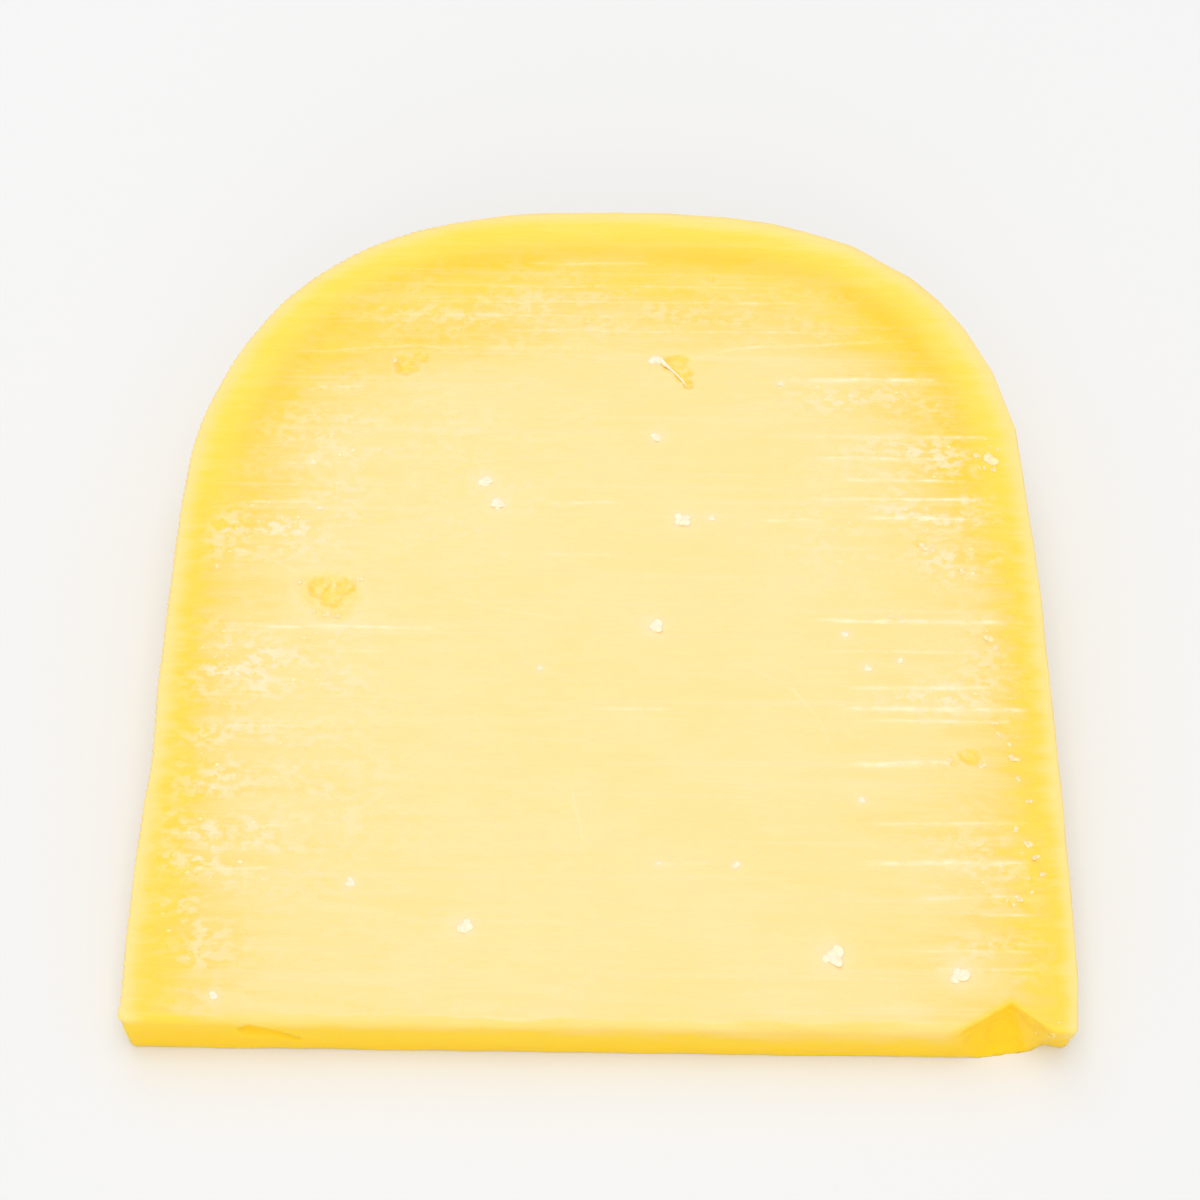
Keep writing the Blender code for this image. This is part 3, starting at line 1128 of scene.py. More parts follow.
def paste_gradient(tree, colours):
    """Paste that dries towards the rind: pale edge, lemon, amber, then the pale middle."""
    edge, lemon, amber, paste = (tuple(getattr(colours, name)) for name in ("edge", "lemon", "amber", "paste"))
    steps = (
        (0.0, edge),
        (0.9, edge),
        (2.3, blend_of(edge, lemon, 0.8)),
        (3.6, lemon),
        (5.2, blend_of(amber, paste, 0.10)),
        (7.2, blend_of(amber, paste, 0.38)),
        (9.5, blend_of(amber, paste, 0.52)),
        (12.0, blend_of(amber, paste, 0.70)),
        (16.0, blend_of(amber, paste, 0.82)),
        (22.0, blend_of(amber, paste, 0.92)),
        (28.0, paste),
        (30.0, paste),
    )
    streaks = stretched_noise(tree, object_place(tree), (75.0, 520.0, 0.0), 4.0, 0.6, (5.0, 9.0, 0.0))
    high = stored(tree, "high")
    calm = maths(tree, "MULTIPLY_ADD", high, -0.45, 1.0)
    uneven = ramp(tree, streaks, 0.30, 0.70, -0.28, 0.36)
    uneven = maths(tree, "MULTIPLY_ADD", uneven, calm, 1.0)
    colour = colour_steps(tree, maths(tree, "MULTIPLY", stored(tree, "dry"), uneven), 30.0, steps)
    band = maths(tree, "MULTIPLY", ramp(tree, stored(tree, "gap"), 0.8, 2.5), ramp(tree, stored(tree, "gap"), 12.0, 5.5))
    colour = mixed(tree, maths(tree, "MULTIPLY", band, high), colour, (1.0, 1.06, 1.12), "MULTIPLY")
    ripe = tuple(value * share for value, share in zip(lemon, (1.0, 0.92, 0.62)))
    return mixed(tree, scaled(tree, stored(tree, "ripe"), 0.95), colour, ripe)


def mottle(tree, spot):
    """Clouds of dry dust: patches a few millimetres wide, broken up into grains."""
    patches = ramp(tree, stretched_noise(tree, spot, (120.0, 270.0, 0.0), 6.0, 0.66), 0.37, 0.62)
    grains = ramp(tree, stretched_noise(tree, spot, (620.0, 820.0, 0.0), 2.5, 0.55), 0.42, 0.56)
    return maths(tree, "MULTIPLY", patches, grains)


def cut_paste(colours):
    """The two long cut faces."""
    material, tree, shader = new_material("cut_paste", 0.46, 0.22)
    spot = object_place(tree)
    smear = tuple(colours.smear)
    colour = paste_gradient(tree, colours)
    inner = ramp(tree, stored(tree, "gap"), 3.0, 10.0)
    cloud = ramp(tree, stretched_noise(tree, spot, (60.0, 90.0, 0.0), 5.0, 0.6), 0.35, 0.70)
    colour = mixed(tree, scaled(tree, scaled(tree, cloud, inner), 0.22), colour, smear)
    line = ramp(tree, stretched_noise(tree, spot, (11.0, 700.0, 0.0), 4.0, 0.6), 0.50, 0.74)
    colour = mixed(tree, scaled(tree, scaled(tree, line, inner), 0.30), colour, smear)
    zone = stored(tree, "smear")
    dust = maths(tree, "MULTIPLY", mottle(tree, spot), scaled(tree, zone, 1.35), clamp=True)
    colour = mixed(tree, dust, colour, smear)
    specks = ramp(tree, stretched_noise(tree, spot, (900.0, 1300.0, 0.0), 1.0, 0.5, (31.0, 7.0, 0.0)), 0.72, 0.78)
    specks = maths(tree, "MULTIPLY", specks, ramp(tree, zone, 0.12, 0.5))
    colour = mixed(tree, specks, colour, tuple(colours.burr))
    colour = mixed(tree, scaled(tree, stored(tree, "lip"), 0.22), colour, smear)
    # Inside the eyes: the skin's own tone and painted shade of the hollows, mottled.
    skin = stored(tree, "eye")
    rough_skin_and_shade = ramp(tree, stretched_noise(tree, spot, (900.0, 1100.0, 0.0), 3.0, 0.6, (3.0, 5.0, 0.0)), 0.32, 0.60)
    inside = mixed(tree, rough_skin_and_shade, tuple(colours.edge), tuple(colours.eye))
    colour = mixed(tree, scaled(tree, skin, 0.80), colour, inside)
    colour = mixed(tree, scaled(tree, stored(tree, "halo"), 0.65), colour, smear)
    beads = ramp(tree, stretched_noise(tree, spot, (330.0, 1900.0, 0.0), 5.0, 0.68), 0.38, 0.58, 0.30, 1.0)
    dragged = maths(tree, "MULTIPLY", beads, scaled(tree, stored(tree, "drag"), 1.15), clamp=True)
    colour = mixed(tree, dragged, colour, tuple(colours.burr))
    colour = mixed(tree, stored(tree, "broken"), colour, broken_paste(tree, colours))
    tree.links.new(colour, shader.inputs["Base Color"])
    rough = ramp(tree, stretched_noise(tree, spot, (120.0, 700.0, 0.0), 3.0), 0.3, 0.7, 0.40, 0.58)
    tree.links.new(rough, shader.inputs["Roughness"])
    fine = stretched_noise(tree, spot, (260.0, 2600.0, 260.0), 3.0)
    bump(tree, shader, maths(tree, "ADD", fine, scaled(tree, dust, 0.8)), 0.05 * MM)
    return material


def broken_paste(tree, colours):
    """Fresh paste in the break, drawn in painted shade: deep on the left flat, paler on the right one."""
    deep = tuple(colours.deep)
    side = ramp(tree, stored(tree, "side"), -0.25, 0.35)
    return mixed(tree, scaled(tree, side, 0.75), deep, tuple(colours.lemon))


def front_paste(colours):
    """The short front cut, drawn in painted shade: pale above, deeper in colour towards its foot."""
    material, tree, shader = new_material("front_paste", 0.48, 0.25)
    spot = object_place(tree)
    drop = stored(tree, "drop")
    sideways = add_node(tree, "ShaderNodeSeparateXYZ", {0: spot}).outputs[0]
    reach = ramp(tree, sideways, -40 * MM, 30 * MM, 2.4, 5.6)
    cloud = stretched_noise(tree, spot, (110.0, 110.0, 260.0), 4.0, 0.6)
    reach = maths(tree, "MULTIPLY", reach, ramp(tree, cloud, 0.30, 0.70, 0.65, 1.35))
    depth = maths(tree, "DIVIDE", drop, reach)
    above = paste_gradient(tree, colours)
    # Painted shade: below the rounding the front face turns away from the light and is drawn in the deeper front
    # colour.
    colour = mixed(tree, ramp(tree, depth, -0.22, 0.75), above, tuple(colours.front))
    # Painted shade near the floor: towards its foot, more on the left, the front is drawn in the deep colour.
    foot = maths(tree, "ADD", drop, scaled(tree, cloud, 6.0))
    foot = ramp(tree, maths(tree, "ADD", foot, ramp(tree, sideways, -20 * MM, -50 * MM, 0.0, 1.6)), 5.8, 9.0)
    colour = mixed(tree, scaled(tree, foot, 0.75), colour, tuple(colours.deep))
    # Painted shade in the nick: its hollow is drawn in the deep colour.
    colour = mixed(tree, ramp(tree, stored(tree, "nick"), 0.05, 0.45), colour, tuple(colours.deep))
    colour = mixed(tree, stored(tree, "broken"), colour, broken_paste(tree, colours))
    tree.links.new(colour, shader.inputs["Base Color"])
    bump(tree, shader, stretched_noise(tree, spot, (900.0, 900.0, 1600.0), 4.0, 0.65), 0.06 * MM)
    return material


def rind_skin(colours):
    """The outside of the wheel: a thin waxy skin with the press cloth's weave."""
    material, tree, shader = new_material("rind_skin", 0.40, 0.15, 1.5 * MM)
    spot = object_place(tree)
    cloud = ramp(tree, stretched_noise(tree, spot, (55.0, 55.0, 120.0), 5.0, 0.6), 0.32, 0.70)
    rind = tuple(colours.rind)
    paler = tuple(min(1.0, value * 1.06 + 0.02) for value in rind)
    deeper = tuple(value * share for value, share in zip(rind, (0.97, 0.88, 0.66)))
    colour = mixed(tree, cloud, deeper, paler)
    specks = ramp(tree, stretched_noise(tree, spot, (900.0, 900.0, 900.0), 2.0), 0.64, 0.74)
    colour = mixed(tree, scaled(tree, specks, 0.35), colour, tuple(colours.edge))
    crest = ramp(tree, stored(tree, "drop"), 0.3, 1.3, 1.0, 0.0)
    colour = mixed(tree, crest, colour, tuple(colours.edge))
    # Painted shade: near the front corners the rind below the crest takes the front cut's shaded colour.
    low = ramp(tree, stored(tree, "drop"), 0.2, 2.5)
    colour = mixed(tree, maths(tree, "MULTIPLY", stored(tree, "corner"), low), colour, tuple(colours.front))
    tree.links.new(colour, shader.inputs["Base Color"])
    rough = ramp(tree, cloud, 0.0, 1.0, 0.34, 0.50)
    tree.links.new(rough, shader.inputs["Roughness"])
    shader.inputs["Coat Weight"].default_value = 0.15
    shader.inputs["Coat Roughness"].default_value = 0.35
    woven = maths(tree, "MULTIPLY_ADD", stored(tree, "corner"), -1.0, 1.0)
    threads = maths(tree, "MULTIPLY", weave(tree, 1.15 * MM), woven)
    grain = stretched_noise(tree, spot, (1400.0, 1400.0, 1400.0), 3.0)
    bump(tree, shader, maths(tree, "ADD", threads, scaled(tree, grain, 0.5)), 0.10 * MM)
    return material


def weave(tree, pitch):
    """Crossed threads from the walked distance and the height."""
    turns = 2 * math.pi / pitch
    warp = maths(tree, "SINE", maths(tree, "MULTIPLY", stored(tree, "along"), turns))
    weft = maths(tree, "SINE", maths(tree, "MULTIPLY", stored(tree, "up"), turns))
    return maths(tree, "MULTIPLY", maths(tree, "MAXIMUM", warp, weft), 0.5)


def grain_material(name, colour, roughness, subsurface):
    """Pale dry grains, slightly uneven in tone."""
    material, tree, shader = new_material(name, roughness, subsurface, 0.8 * MM)
    spot = object_place(tree)
    uneven = ramp(tree, stretched_noise(tree, spot, (1500.0, 1500.0, 1500.0), 2.0), 0.35, 0.65)
    darker = tuple(value * share for value, share in zip(colour, (1.0, 0.96, 0.88)))
    tree.links.new(mixed(tree, uneven, darker, tuple(colour)), shader.inputs["Base Color"])
    return material


# ---------------------------------------------------------------------------
# Geometry Nodes
# ---------------------------------------------------------------------------


def relief_tree():
    """Knife waves, crumbly breaks and the rind's lumps and cloth marks, along the normals."""
    inputs = [
        ("Knife relief", "NodeSocketFloat"),
        ("Broken relief", "NodeSocketFloat"),
        ("Front relief", "NodeSocketFloat"),
        ("Rind relief", "NodeSocketFloat"),
        ("Cloth relief", "NodeSocketFloat"),
        ("Cloth pitch", "NodeSocketFloat"),
        ("Seed", "NodeSocketInt"),
        ("Cut material", "NodeSocketMaterial"),
        ("Rind material", "NodeSocketMaterial"),
        ("Front material", "NodeSocketMaterial"),
    ]
    tree, given = geometry_tree("surface_relief", inputs)
    spot = add_node(tree, "GeometryNodeInputPosition").outputs[0]
    shift = add_node(tree, "ShaderNodeCombineXYZ", {0: given["Seed"], 1: given["Seed"], 2: 0.0}).outputs[0]
    waves = stretched_noise(tree, spot, (16.0, 330.0, 0.0), 4.0, 0.55, shift)
    knife = maths(tree, "MULTIPLY", centred(tree, waves), given["Knife relief"])
    knife = maths(tree, "MULTIPLY", knife, field(tree, "knife"))
    crumbs = stretched_noise(tree, spot, (850.0, 850.0, 850.0), 5.0, 0.6, shift)
    broken = maths(tree, "MULTIPLY", centred(tree, crumbs), given["Broken relief"])
    broken = maths(tree, "MULTIPLY", broken, field(tree, "broken"))
    lumps = stretched_noise(tree, spot, (140.0, 140.0, 140.0), 4.0, 0.5, shift)
    rind = maths(tree, "MULTIPLY", centred(tree, lumps), given["Rind relief"])
    rind = maths(tree, "MULTIPLY", rind, field(tree, "rind"))
    cloth = maths(tree, "MULTIPLY", cloth_marks(tree, given["Cloth pitch"]), given["Cloth relief"])
    cloth = maths(tree, "MULTIPLY", cloth, field(tree, "cloth"))
    pits = stretched_noise(tree, spot, (1700.0, 1500.0, 0.0), 3.0, 0.6, shift)
    pits = maths(tree, "MULTIPLY", centred(tree, pits), scaled(tree, given["Broken relief"], 0.45))
    pits = maths(tree, "MULTIPLY", pits, field(tree, "pit"))
    front = stretched_noise(tree, spot, (140.0, 140.0, 260.0), 4.0, 0.55, shift)
    front = maths(tree, "MULTIPLY", centred(tree, front), given["Front relief"])
    front = maths(tree, "MULTIPLY", front, field(tree, "front"))
    total = maths(tree, "ADD", maths(tree, "ADD", knife, broken), maths(tree, "ADD", rind, cloth))
    total = maths(tree, "ADD", total, maths(tree, "ADD", pits, front))
    normal = add_node(tree, "GeometryNodeInputNormal").outputs[0]
    push = add_node(tree, "ShaderNodeVectorMath", {0: normal, "Scale": total}, operation="SCALE").outputs[0]
    moved = add_node(tree, "GeometryNodeSetPosition", {"Geometry": given["Geometry"], "Offset": push})
    coats = [
        (given["Cut material"], None),
        (given["Rind material"], field(tree, "skin")),
        (given["Front material"], field(tree, "short_cut")),
    ]
    close_tree(tree, moved.outputs[0], coats)
    return tree


def centred(tree, noise):
    """Noise from about -1 to 1 instead of 0 to 1."""
    return maths(tree, "MULTIPLY_ADD", noise, 2.0, -1.0)


def cloth_marks(tree, pitch):
    """Rounded teeth at the crossings of the cloth's threads."""
    turns = maths(tree, "DIVIDE", 2 * math.pi, pitch)
    warp = maths(tree, "SINE", maths(tree, "MULTIPLY", field(tree, "along"), turns))
    weft = maths(tree, "SINE", maths(tree, "MULTIPLY", field(tree, "up"), turns))
    return maths(tree, "MULTIPLY_ADD", weft, 0.3, warp)


def crystal_tree():
    """Each point becomes a flat heap of small rough grains, sunk into the paste."""
    inputs = [
        ("Grains", "NodeSocketInt"),
        ("Roughness", "NodeSocketFloat"),
        ("Seed", "NodeSocketInt"),
        ("Material", "NodeSocketMaterial"),
    ]
    tree, given = geometry_tree("grain_heaps", inputs)
    copies = add_node(
        tree,
        "GeometryNodeDuplicateElements",
        {"Geometry": given["Geometry"], "Amount": given["Grains"]},
        domain="POINT",
    )
    size = field(tree, "size")
    spread = random_vector(tree, (-0.48, -0.50, -0.10), (0.48, 0.50, 0.03), given["Seed"])
    offset = add_node(tree, "ShaderNodeVectorMath", {0: spread, "Scale": size}, operation="SCALE")
    heaps = add_node(
        tree, "GeometryNodeSetPosition", {"Geometry": copies.outputs[0], "Offset": offset.outputs[0]}
    )
    grain = add_node(tree, "GeometryNodeMeshIcoSphere", {"Radius": 1.0, "Subdivisions": 4})
    shape = random_vector(tree, (0.38, 0.38, 0.12), (0.66, 0.66, 0.20), given["Seed"])
    scale = add_node(tree, "ShaderNodeVectorMath", {0: shape, "Scale": size}, operation="SCALE")
    turn = random_vector(tree, (-0.3, -0.3, 0.0), (0.3, 0.3, 6.28), given["Seed"])
    placed = add_node(
        tree,
        "GeometryNodeInstanceOnPoints",
        {
            "Points": heaps.outputs[0],
            "Instance": grain.outputs[0],
            "Rotation": turn,
            "Scale": scale.outputs[0],
        },
    )
    real = add_node(tree, "GeometryNodeRealizeInstances", {"Geometry": placed.outputs[0]})
    rough = roughened(tree, real.outputs[0], 2600.0, given["Roughness"])
    close_tree(tree, rough, [(given["Material"], None)])
    return tree


def random_vector(tree, low, high, seed):
    """A random vector for each point."""
    made = add_node(tree, "FunctionNodeRandomValue", data_type="FLOAT_VECTOR")
    made.inputs[0].default_value = low
    made.inputs[1].default_value = high
    tree.links.new(seed, made.inputs["Seed"])
    return made.outputs[0]


def roughened(tree, geometry, waves, height):
    """Push a surface in and out by fine noise."""
    spot = add_node(tree, "GeometryNodeInputPosition").outputs[0]
    noise = centred(tree, stretched_noise(tree, spot, (waves, waves, waves), 3.0, 0.6))
    normal = add_node(tree, "GeometryNodeInputNormal").outputs[0]
    scaled = {0: normal, "Scale": maths(tree, "MULTIPLY", noise, height)}
    offset = add_node(tree, "ShaderNodeVectorMath", scaled, operation="SCALE").outputs[0]
    return add_node(tree, "GeometryNodeSetPosition", {"Geometry": geometry, "Offset": offset}).outputs[0]


def burr_tree():
    """Each line becomes a thin broken burr that lies on the cut face."""
    inputs = [
        ("Surface", "NodeSocketObject"),
        ("Sink", "NodeSocketFloat"),
        ("Material", "NodeSocketMaterial"),
    ]
    tree, given = geometry_tree("knife_burrs", inputs)
    curve = add_node(tree, "GeometryNodeMeshToCurve", {"Mesh": given["Geometry"]}).outputs[0]
    curve = add_node(
        tree, "GeometryNodeResampleCurve", {"Curve": curve, "Length": 0.22 * MM}, mode="LENGTH"
    ).outputs[0]
    spot = add_node(tree, "GeometryNodeInputPosition").outputs[0]
    surface = add_node(tree, "GeometryNodeObjectInfo", {"Object": given["Surface"]}).outputs["Geometry"]
    drift = centred(tree, stretched_noise(tree, spot, (130.0, 0.0, 0.0), 3.0, 0.6))
    wander = add_node(
        tree, "ShaderNodeCombineXYZ", {1: maths(tree, "MULTIPLY", drift, 0.20 * MM)}
    ).outputs[0]
    near = add_node(tree, "ShaderNodeVectorMath", {0: spot, 1: wander}, operation="ADD").outputs[0]
    touching = add_node(
        tree,
        "GeometryNodeSampleNearestSurface",
        {"Mesh": surface, "Value": spot, "Sample Position": near},
        data_type="FLOAT_VECTOR",
    ).outputs["Value"]
    down = add_node(tree, "ShaderNodeCombineXYZ", {2: maths(tree, "MULTIPLY", given["Sink"], -1.0)}).outputs[0]
    laid = add_node(
        tree, "GeometryNodeSetPosition", {"Geometry": curve, "Position": touching, "Offset": down}
    ).outputs[0]
    laid = add_node(tree, "GeometryNodeSetCurveNormal", {"Curve": laid}, mode="Z_UP").outputs[0]
    share = add_node(tree, "GeometryNodeSplineParameter").outputs["Factor"]
    ends = maths(tree, "POWER", maths(tree, "SINE", maths(tree, "MULTIPLY", share, math.pi)), 0.6)
    beads = ramp(tree, stretched_noise(tree, spot, (520.0, 90.0, 0.0), 4.0, 0.7), 0.50, 0.66)
    radius = maths(tree, "MULTIPLY", maths(tree, "MULTIPLY", ends, beads), field(tree, "width"))
    profile = add_node(
        tree, "GeometryNodeCurvePrimitiveCircle", {"Resolution": 8, "Radius": 0.5}, mode="RADIUS"
    ).outputs[0]
    profile = add_node(tree, "GeometryNodeTransform", {"Geometry": profile, "Scale": (1.0, 0.45, 1.0)}).outputs[0]
    swept = {"Curve": laid, "Profile Curve": profile, "Scale": radius, "Fill Caps": True}
    solid = add_node(tree, "GeometryNodeCurveToMesh", swept).outputs[0]
    close_tree(tree, solid, [(given["Material"], None)])
    return tree


def crumb_tree():
    """Scatter small crumbs where the paste crumbles."""
    inputs = [
        ("Density", "NodeSocketFloat"),
        ("Seed", "NodeSocketInt"),
        ("Material", "NodeSocketMaterial"),
    ]
    tree, given = geometry_tree("crumbs", inputs)
    thick = maths(tree, "MULTIPLY", field(tree, "crumble"), given["Density"])
    spread = add_node(
        tree,
        "GeometryNodeDistributePointsOnFaces",
        {"Mesh": given["Geometry"], "Density": thick, "Seed": given["Seed"]},
    )
    grain = add_node(tree, "GeometryNodeMeshIcoSphere", {"Radius": 1.0, "Subdivisions": 2})
    small = 0.001
    shape = random_vector(
        tree, (0.10 * small, 0.08 * small, 0.04 * small), (0.36 * small, 0.28 * small, 0.13 * small), given["Seed"]
    )
    turn = random_vector(tree, (-0.4, -0.4, 0.0), (0.4, 0.4, 6.28), given["Seed"])
    placed = add_node(
        tree,
        "GeometryNodeInstanceOnPoints",
        {"Points": spread.outputs[0], "Instance": grain.outputs[0], "Rotation": turn, "Scale": shape},
    )
    real = add_node(tree, "GeometryNodeRealizeInstances", {"Geometry": placed.outputs[0]})
    rough = roughened(tree, real.outputs[0], 4000.0, 0.05 * MM)
    close_tree(tree, rough, [(given["Material"], None)])
    return tree


# ---------------------------------------------------------------------------
# Operators
# ---------------------------------------------------------------------------


class CHEESE_OT_body(bpy.types.Operator):
    """Make the wedge itself: cut faces, rind, eyes and the broken corner"""

    bl_idname = "cheese.body"
    bl_label = "Wedge"

    def execute(self, context):
        settings = context.scene.cheese_body
        colours = context.scene.cheese_colours
        values = {
            "Knife relief": settings.knife_depth,
            "Broken relief": settings.broken_depth,
            "Front relief": settings.front_depth,
            "Rind relief": settings.rind_depth,
            "Cloth relief": settings.cloth_depth,
            "Cloth pitch": settings.cloth_pitch,
            "Seed": settings.seed,
            "Cut material": cut_paste(colours),
            "Rind material": rind_skin(colours),
            "Front material": front_paste(colours),
        }
        piece = grown("wedge_body", wedge_mesh(settings), relief_tree(), values)
        finish_piece(piece)
        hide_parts("cheese_wedge")
        return {"FINISHED"}


def point_mesh(name, places):
    """Loose points on the cut face: across, from front, size, in mm."""
    rows = np.array(places, float)
    points = on_cut(rows[:, 0] * MM, rows[:, 1] * MM)
    mesh = plain_mesh(name, points, [])
    add_field(mesh, "size", rows[:, 2] * MM)
    return mesh


class CHEESE_OT_crystals(bpy.types.Operator):
    """Make the white crystals that stand in the paste"""

    bl_idname = "cheese.crystals"
    bl_label = "Crystals"

    def execute(self, context):
        details = context.scene.cheese_details
        colour = tuple(context.scene.cheese_colours.crystal)
        values = {
            "Grains": details.grains,
            "Roughness": 0.05 * MM,
            "Seed": details.seed,
            "Material": grain_material("crystal_white", colour, 0.6, 0.1),
        }
        finish_piece(grown("crystals", point_mesh("crystal_places", CRYSTALS), crystal_tree(), values))
        return {"FINISHED"}


class CHEESE_OT_flakes(bpy.types.Operator):
    """Make the torn flakes of paste"""

    bl_idname = "cheese.flakes"
    bl_label = "Flakes"

    def execute(self, context):
        details = context.scene.cheese_details
        colour = tuple(context.scene.cheese_colours.flake)
        values = {
            "Grains": max(2, details.grains // 2),
            "Roughness": 0.12 * MM,
            "Seed": details.seed + 1,
            "Material": grain_material("flake_pale", colour, 0.6, 0.2),
        }
        finish_piece(grown("flakes", point_mesh("flake_places", FLAKES), crystal_tree(), values))
        return {"FINISHED"}


def line_mesh(marks):
    """Lines on the cut face as loose edges, each with its width."""
    points, edges, widths = [], [], []
    for width, line in marks:
        start = len(points)
        for across, from_front in line:
            points.append(on_cut(across * MM, from_front * MM))
            widths.append(width * MM)
        edges += [(index, index + 1) for index in range(start, len(points) - 1)]
    mesh = bpy.data.meshes.new("knife_lines")
    mesh.from_pydata([tuple(point) for point in points], edges, [])
    add_field(mesh, "width", widths)
    return mesh


class CHEESE_OT_burrs(bpy.types.Operator):
    """Make the thin burrs that the knife dragged up"""

    bl_idname = "cheese.burrs"
    bl_label = "Knife burrs"

    def execute(self, context):
        marks = [(half * 0.9, line) for line, strength, half in knife_marks() if strength.max() > 0.6]
        values = {
            "Surface": bpy.data.objects["wedge_body"],
            "Sink": 0.02 * MM,
            "Material": grain_material("burr_dry", tuple(context.scene.cheese_colours.burr), 0.62, 0.15),
        }
        finish_piece(grown("knife_burrs", line_mesh(marks), burr_tree(), values))
        return {"FINISHED"}


def crumble_field(mesh):
    """Where crumbs lie: beside the eyes, along the right side and at the broken corner."""
    points = np.empty(len(mesh.vertices) * 3)
    mesh.vertices.foreach_get("co", points)
    points = points.reshape(-1, 3)
    across = points[:, 0]
    from_front = points[:, 1] - WEDGE_LOW.y
    spots = [
        (52.0, 81.5, 1.6, 1.8, 0.8),
        (54.3, 21.5, 1.2, 3.5, 0.9),
        (51.5, 16.0, 2.5, 2.0, 0.5),
        (51.0, 40.0, 2.0, 4.0, 0.25),
        (-48.0, 50.0, 3.0, 2.5, 0.25),
        (-50.0, 68.0, 2.0, 5.0, 0.2),
        (-36.5, 55.4, 2.5, 0.7, 0.5),
        (43.5, 67.5, 1.5, 1.5, 0.5),
        (50.5, 53.0, 1.5, 1.5, 0.6),
        (37.0, 55.0, 3.0, 2.0, 0.1),
        (55.5, 0.5, 1.8, 1.2, 0.8),
    ]
    return bump_sum(spots, across, from_front) * (points[:, 2] > 3 * MM)


class CHEESE_OT_crumbs(bpy.types.Operator):
    """Scatter crumbs of paste"""

    bl_idname = "cheese.crumbs"
    bl_label = "Crumbs"

    def execute(self, context):
        details = context.scene.cheese_details
        mesh = bpy.data.objects["wedge_body"].data.copy()
        add_field(mesh, "crumble", crumble_field(mesh))
        values = {
            "Density": details.crumb_density,
            "Seed": details.seed,
            "Material": grain_material("crumb_pale", tuple(context.scene.cheese_colours.flake), 0.6, 0.2),
        }
        finish_piece(grown("crumbs", mesh, crumb_tree(), values))
        return {"FINISHED"}


FLAP_LINE = ((5.8, 97.9), (6.5, 98.5), (7.6, 98.2), (8.6, 97.1), (9.6, 96.0), (10.5, 94.9), (11.0, 94.0))
FLAP_HALF_WIDTHS = (0.25, 0.80, 0.50, 0.15, 0.11, 0.09, 0.04)
FLAP_LIFTS = (0.08, 0.38, 0.32, 0.15, 0.11, 0.08, 0.02)


def flap_mesh(steps=44, lanes=7):
    """A torn sliver beside the upper eye: a ragged leaf, widest and highest at its head."""
    along = np.linspace(0, 1, steps)
    knots = np.linspace(0, 1, len(FLAP_LINE))
    line = np.stack([np.interp(along, knots, [spot[axis] for spot in FLAP_LINE]) for axis in (0, 1)], axis=-1)
    half = np.interp(along, knots, FLAP_HALF_WIDTHS)
    lift = np.interp(along, knots, FLAP_LIFTS)
    way = np.gradient(line, axis=0)
    side = np.stack([-way[:, 1], way[:, 0]], axis=-1) / np.linalg.norm(way, axis=1)[:, None]
    points = []
    for lane in np.linspace(-1, 1, lanes):
        ragged = half * (1 + 0.45 * wander(along, 0.06, 7 + int(lane > 0)) * abs(lane))
        spot = line + side * (lane * ragged)[:, None]
        height = lift * (1 - lane * lane) * (1 + 0.5 * wander(along, 0.05, 12 + int(4 * lane))) - 0.03
        points.append(on_cut(spot[:, 0] * MM, spot[:, 1] * MM, height * MM))
    points = np.array(points).reshape(-1, 3)
    faces = [
        (lane * steps + step, lane * steps + step + 1, (lane + 1) * steps + step + 1, (lane + 1) * steps + step)
        for lane in range(lanes - 1)
        for step in range(steps - 1)
    ]
    return plain_mesh("torn_flap", points, faces)


class CHEESE_OT_flap(bpy.types.Operator):
    """Make the torn flap beside the upper eye"""

    bl_idname = "cheese.flap"
    bl_label = "Torn flap"

    def execute(self, context):
        piece = bpy.data.objects.new("torn_flap", flap_mesh())
        bpy.context.scene.collection.objects.link(piece)
        solid = piece.modifiers.new("thickness", "SOLIDIFY")
        solid.thickness = 0.10 * MM
        solid.offset = 0.0
        smooth = piece.modifiers.new("smooth", "SUBSURF")
        smooth.levels = 2
        smooth.render_levels = 2
        colour = tuple(context.scene.cheese_colours.crystal)
        piece.data.materials.append(grain_material("flap_dry", colour, 0.55, 0.2))
        finish_piece(piece)
        return {"FINISHED"}


def area_light(name, place_at, aim, size, power):
    """A soft square lamp."""
    lamp = bpy.data.lights.new(name, "AREA")
    lamp.shape = "SQUARE"
    lamp.size = size
    lamp.energy = power
    holder = bpy.data.objects.new(name, lamp)
    way = Vector(aim) - Vector(place_at)
    holder.matrix_world = Matrix.Translation(place_at) @ way.to_track_quat("-Z", "Y").to_matrix().to_4x4()
    bpy.context.scene.collection.objects.link(holder)


def stage_floor(colour):
    """A plain pale floor."""
    bpy.ops.mesh.primitive_plane_add(size=6.0, location=(0.0, 0.0, 0.0))
    floor = bpy.context.object
    floor.name = "floor"
    material = bpy.data.materials.new("floor_pale")
    material.use_nodes = True
    shader = material.node_tree.nodes["Principled BSDF"]
    shader.inputs["Base Color"].default_value = (*colour, 1.0)
    shader.inputs["Roughness"].default_value = 0.8
    shader.inputs["Specular IOR Level"].default_value = 0.1
    floor.data.materials.append(material)


def even_sky(strength):
    """Even white light from all round."""
    world = bpy.data.worlds.new("even_sky")
    world.use_nodes = True
    background = world.node_tree.nodes["Background"]
    background.inputs["Color"].default_value = (1.0, 1.0, 1.0, 1.0)
    background.inputs["Strength"].default_value = strength
    bpy.context.scene.world = world


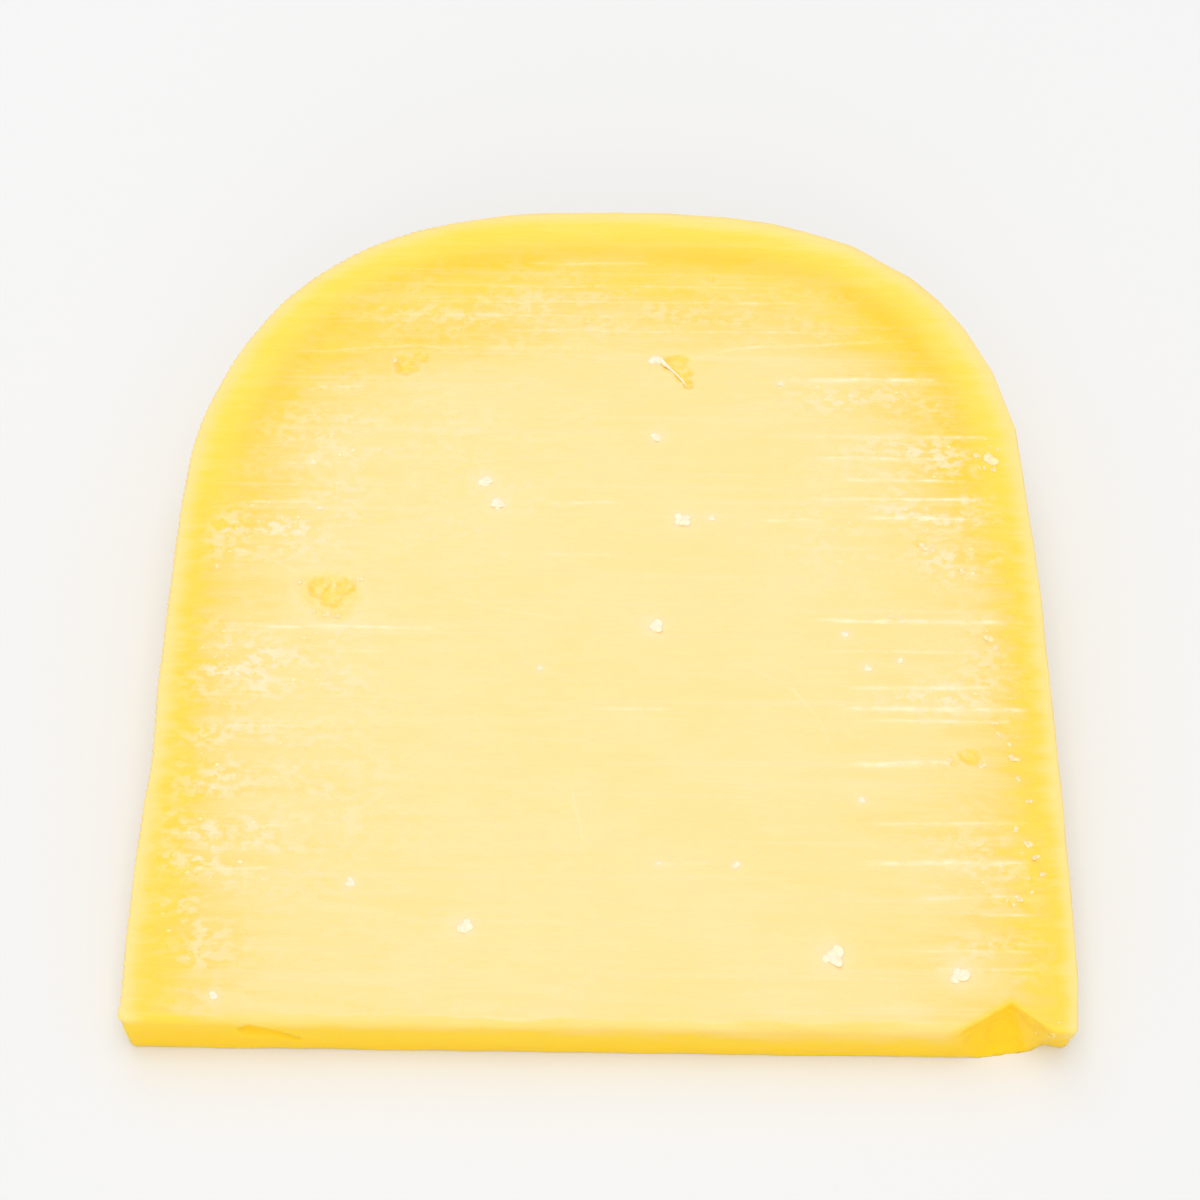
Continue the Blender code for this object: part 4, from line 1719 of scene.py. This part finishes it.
def stage_camera(settings):
    """The camera, looking down on the wedge from in front."""
    data = bpy.data.cameras.new("camera")
    data.lens = settings.lens
    data.sensor_width = 36.0
    data.clip_start = 0.01
    camera = bpy.data.objects.new("camera", data)
    turn = Matrix.Rotation(settings.camera_turn, 4, "Z")
    down = Matrix.Rotation(math.pi / 2 - settings.camera_down, 4, "X")
    roll = Matrix.Rotation(settings.camera_roll, 4, "Z")
    camera.matrix_world = Matrix.Translation(settings.camera_place) @ turn @ down @ roll
    bpy.context.scene.collection.objects.link(camera)
    bpy.context.scene.camera = camera


class CHEESE_OT_stage(bpy.types.Operator):
    """Set up the floor, the light and the camera"""

    bl_idname = "cheese.stage"
    bl_label = "Stage"

    def execute(self, context):
        settings = context.scene.cheese_stage
        stage_floor(tuple(settings.floor))
        even_sky(settings.sky)
        area_light("top_light", (0.0, -0.15, 2.0), (0.0, 0.0, 0.0), 1.7, settings.top)
        area_light("key_light", (-0.15, 0.55, 0.75), (0.0, 0.0, 0.0), 0.6, settings.key)
        area_light("fill_light", (0.0, -2.0, 0.75), (0.0, 0.0, 0.0), 1.8, settings.fill)
        stage_camera(settings)
        context.scene.view_settings.view_transform = "Standard"
        return {"FINISHED"}


OPERATORS = (
    CHEESE_OT_body,
    CHEESE_OT_burrs,
    CHEESE_OT_crystals,
    CHEESE_OT_flakes,
    CHEESE_OT_crumbs,
    CHEESE_OT_flap,
    CHEESE_OT_stage,
)

SETTINGS = {
    "cheese_body": CheeseBodySettings,
    "cheese_colours": CheeseColourSettings,
    "cheese_details": CheeseDetailSettings,
    "cheese_stage": CheeseStageSettings,
}


class CHEESE_PT_panel(bpy.types.Panel):
    """The wedge's settings and pieces"""

    bl_idname = "CHEESE_PT_panel"
    bl_label = "Cheese Wedge"
    bl_space_type = "VIEW_3D"
    bl_region_type = "UI"
    bl_category = "Cheese"

    def draw(self, context):
        layout = self.layout
        for operator in OPERATORS:
            layout.operator(operator.bl_idname)
        for name, group in SETTINGS.items():
            box = layout.box()
            for setting in group.__annotations__:
                box.prop(getattr(context.scene, name), setting)


def register():
    """Register the settings, the operators and the panel."""
    for group in SETTINGS.values():
        bpy.utils.register_class(group)
    for name, group in SETTINGS.items():
        setattr(bpy.types.Scene, name, bpy.props.PointerProperty(type=group))
    for operator in OPERATORS:
        bpy.utils.register_class(operator)
    bpy.utils.register_class(CHEESE_PT_panel)


def unregister():
    """Take everything away again."""
    bpy.utils.unregister_class(CHEESE_PT_panel)
    for operator in reversed(OPERATORS):
        bpy.utils.unregister_class(operator)
    for name in SETTINGS:
        delattr(bpy.types.Scene, name)
    for group in reversed(SETTINGS.values()):
        bpy.utils.unregister_class(group)


def main():
    """Make every piece in order."""
    register()
    bpy.ops.cheese.body()
    bpy.ops.cheese.burrs()
    bpy.ops.cheese.crystals()
    bpy.ops.cheese.flakes()
    bpy.ops.cheese.crumbs()
    bpy.ops.cheese.flap()
    bpy.ops.cheese.stage()


if __name__ == "__main__":
    main()
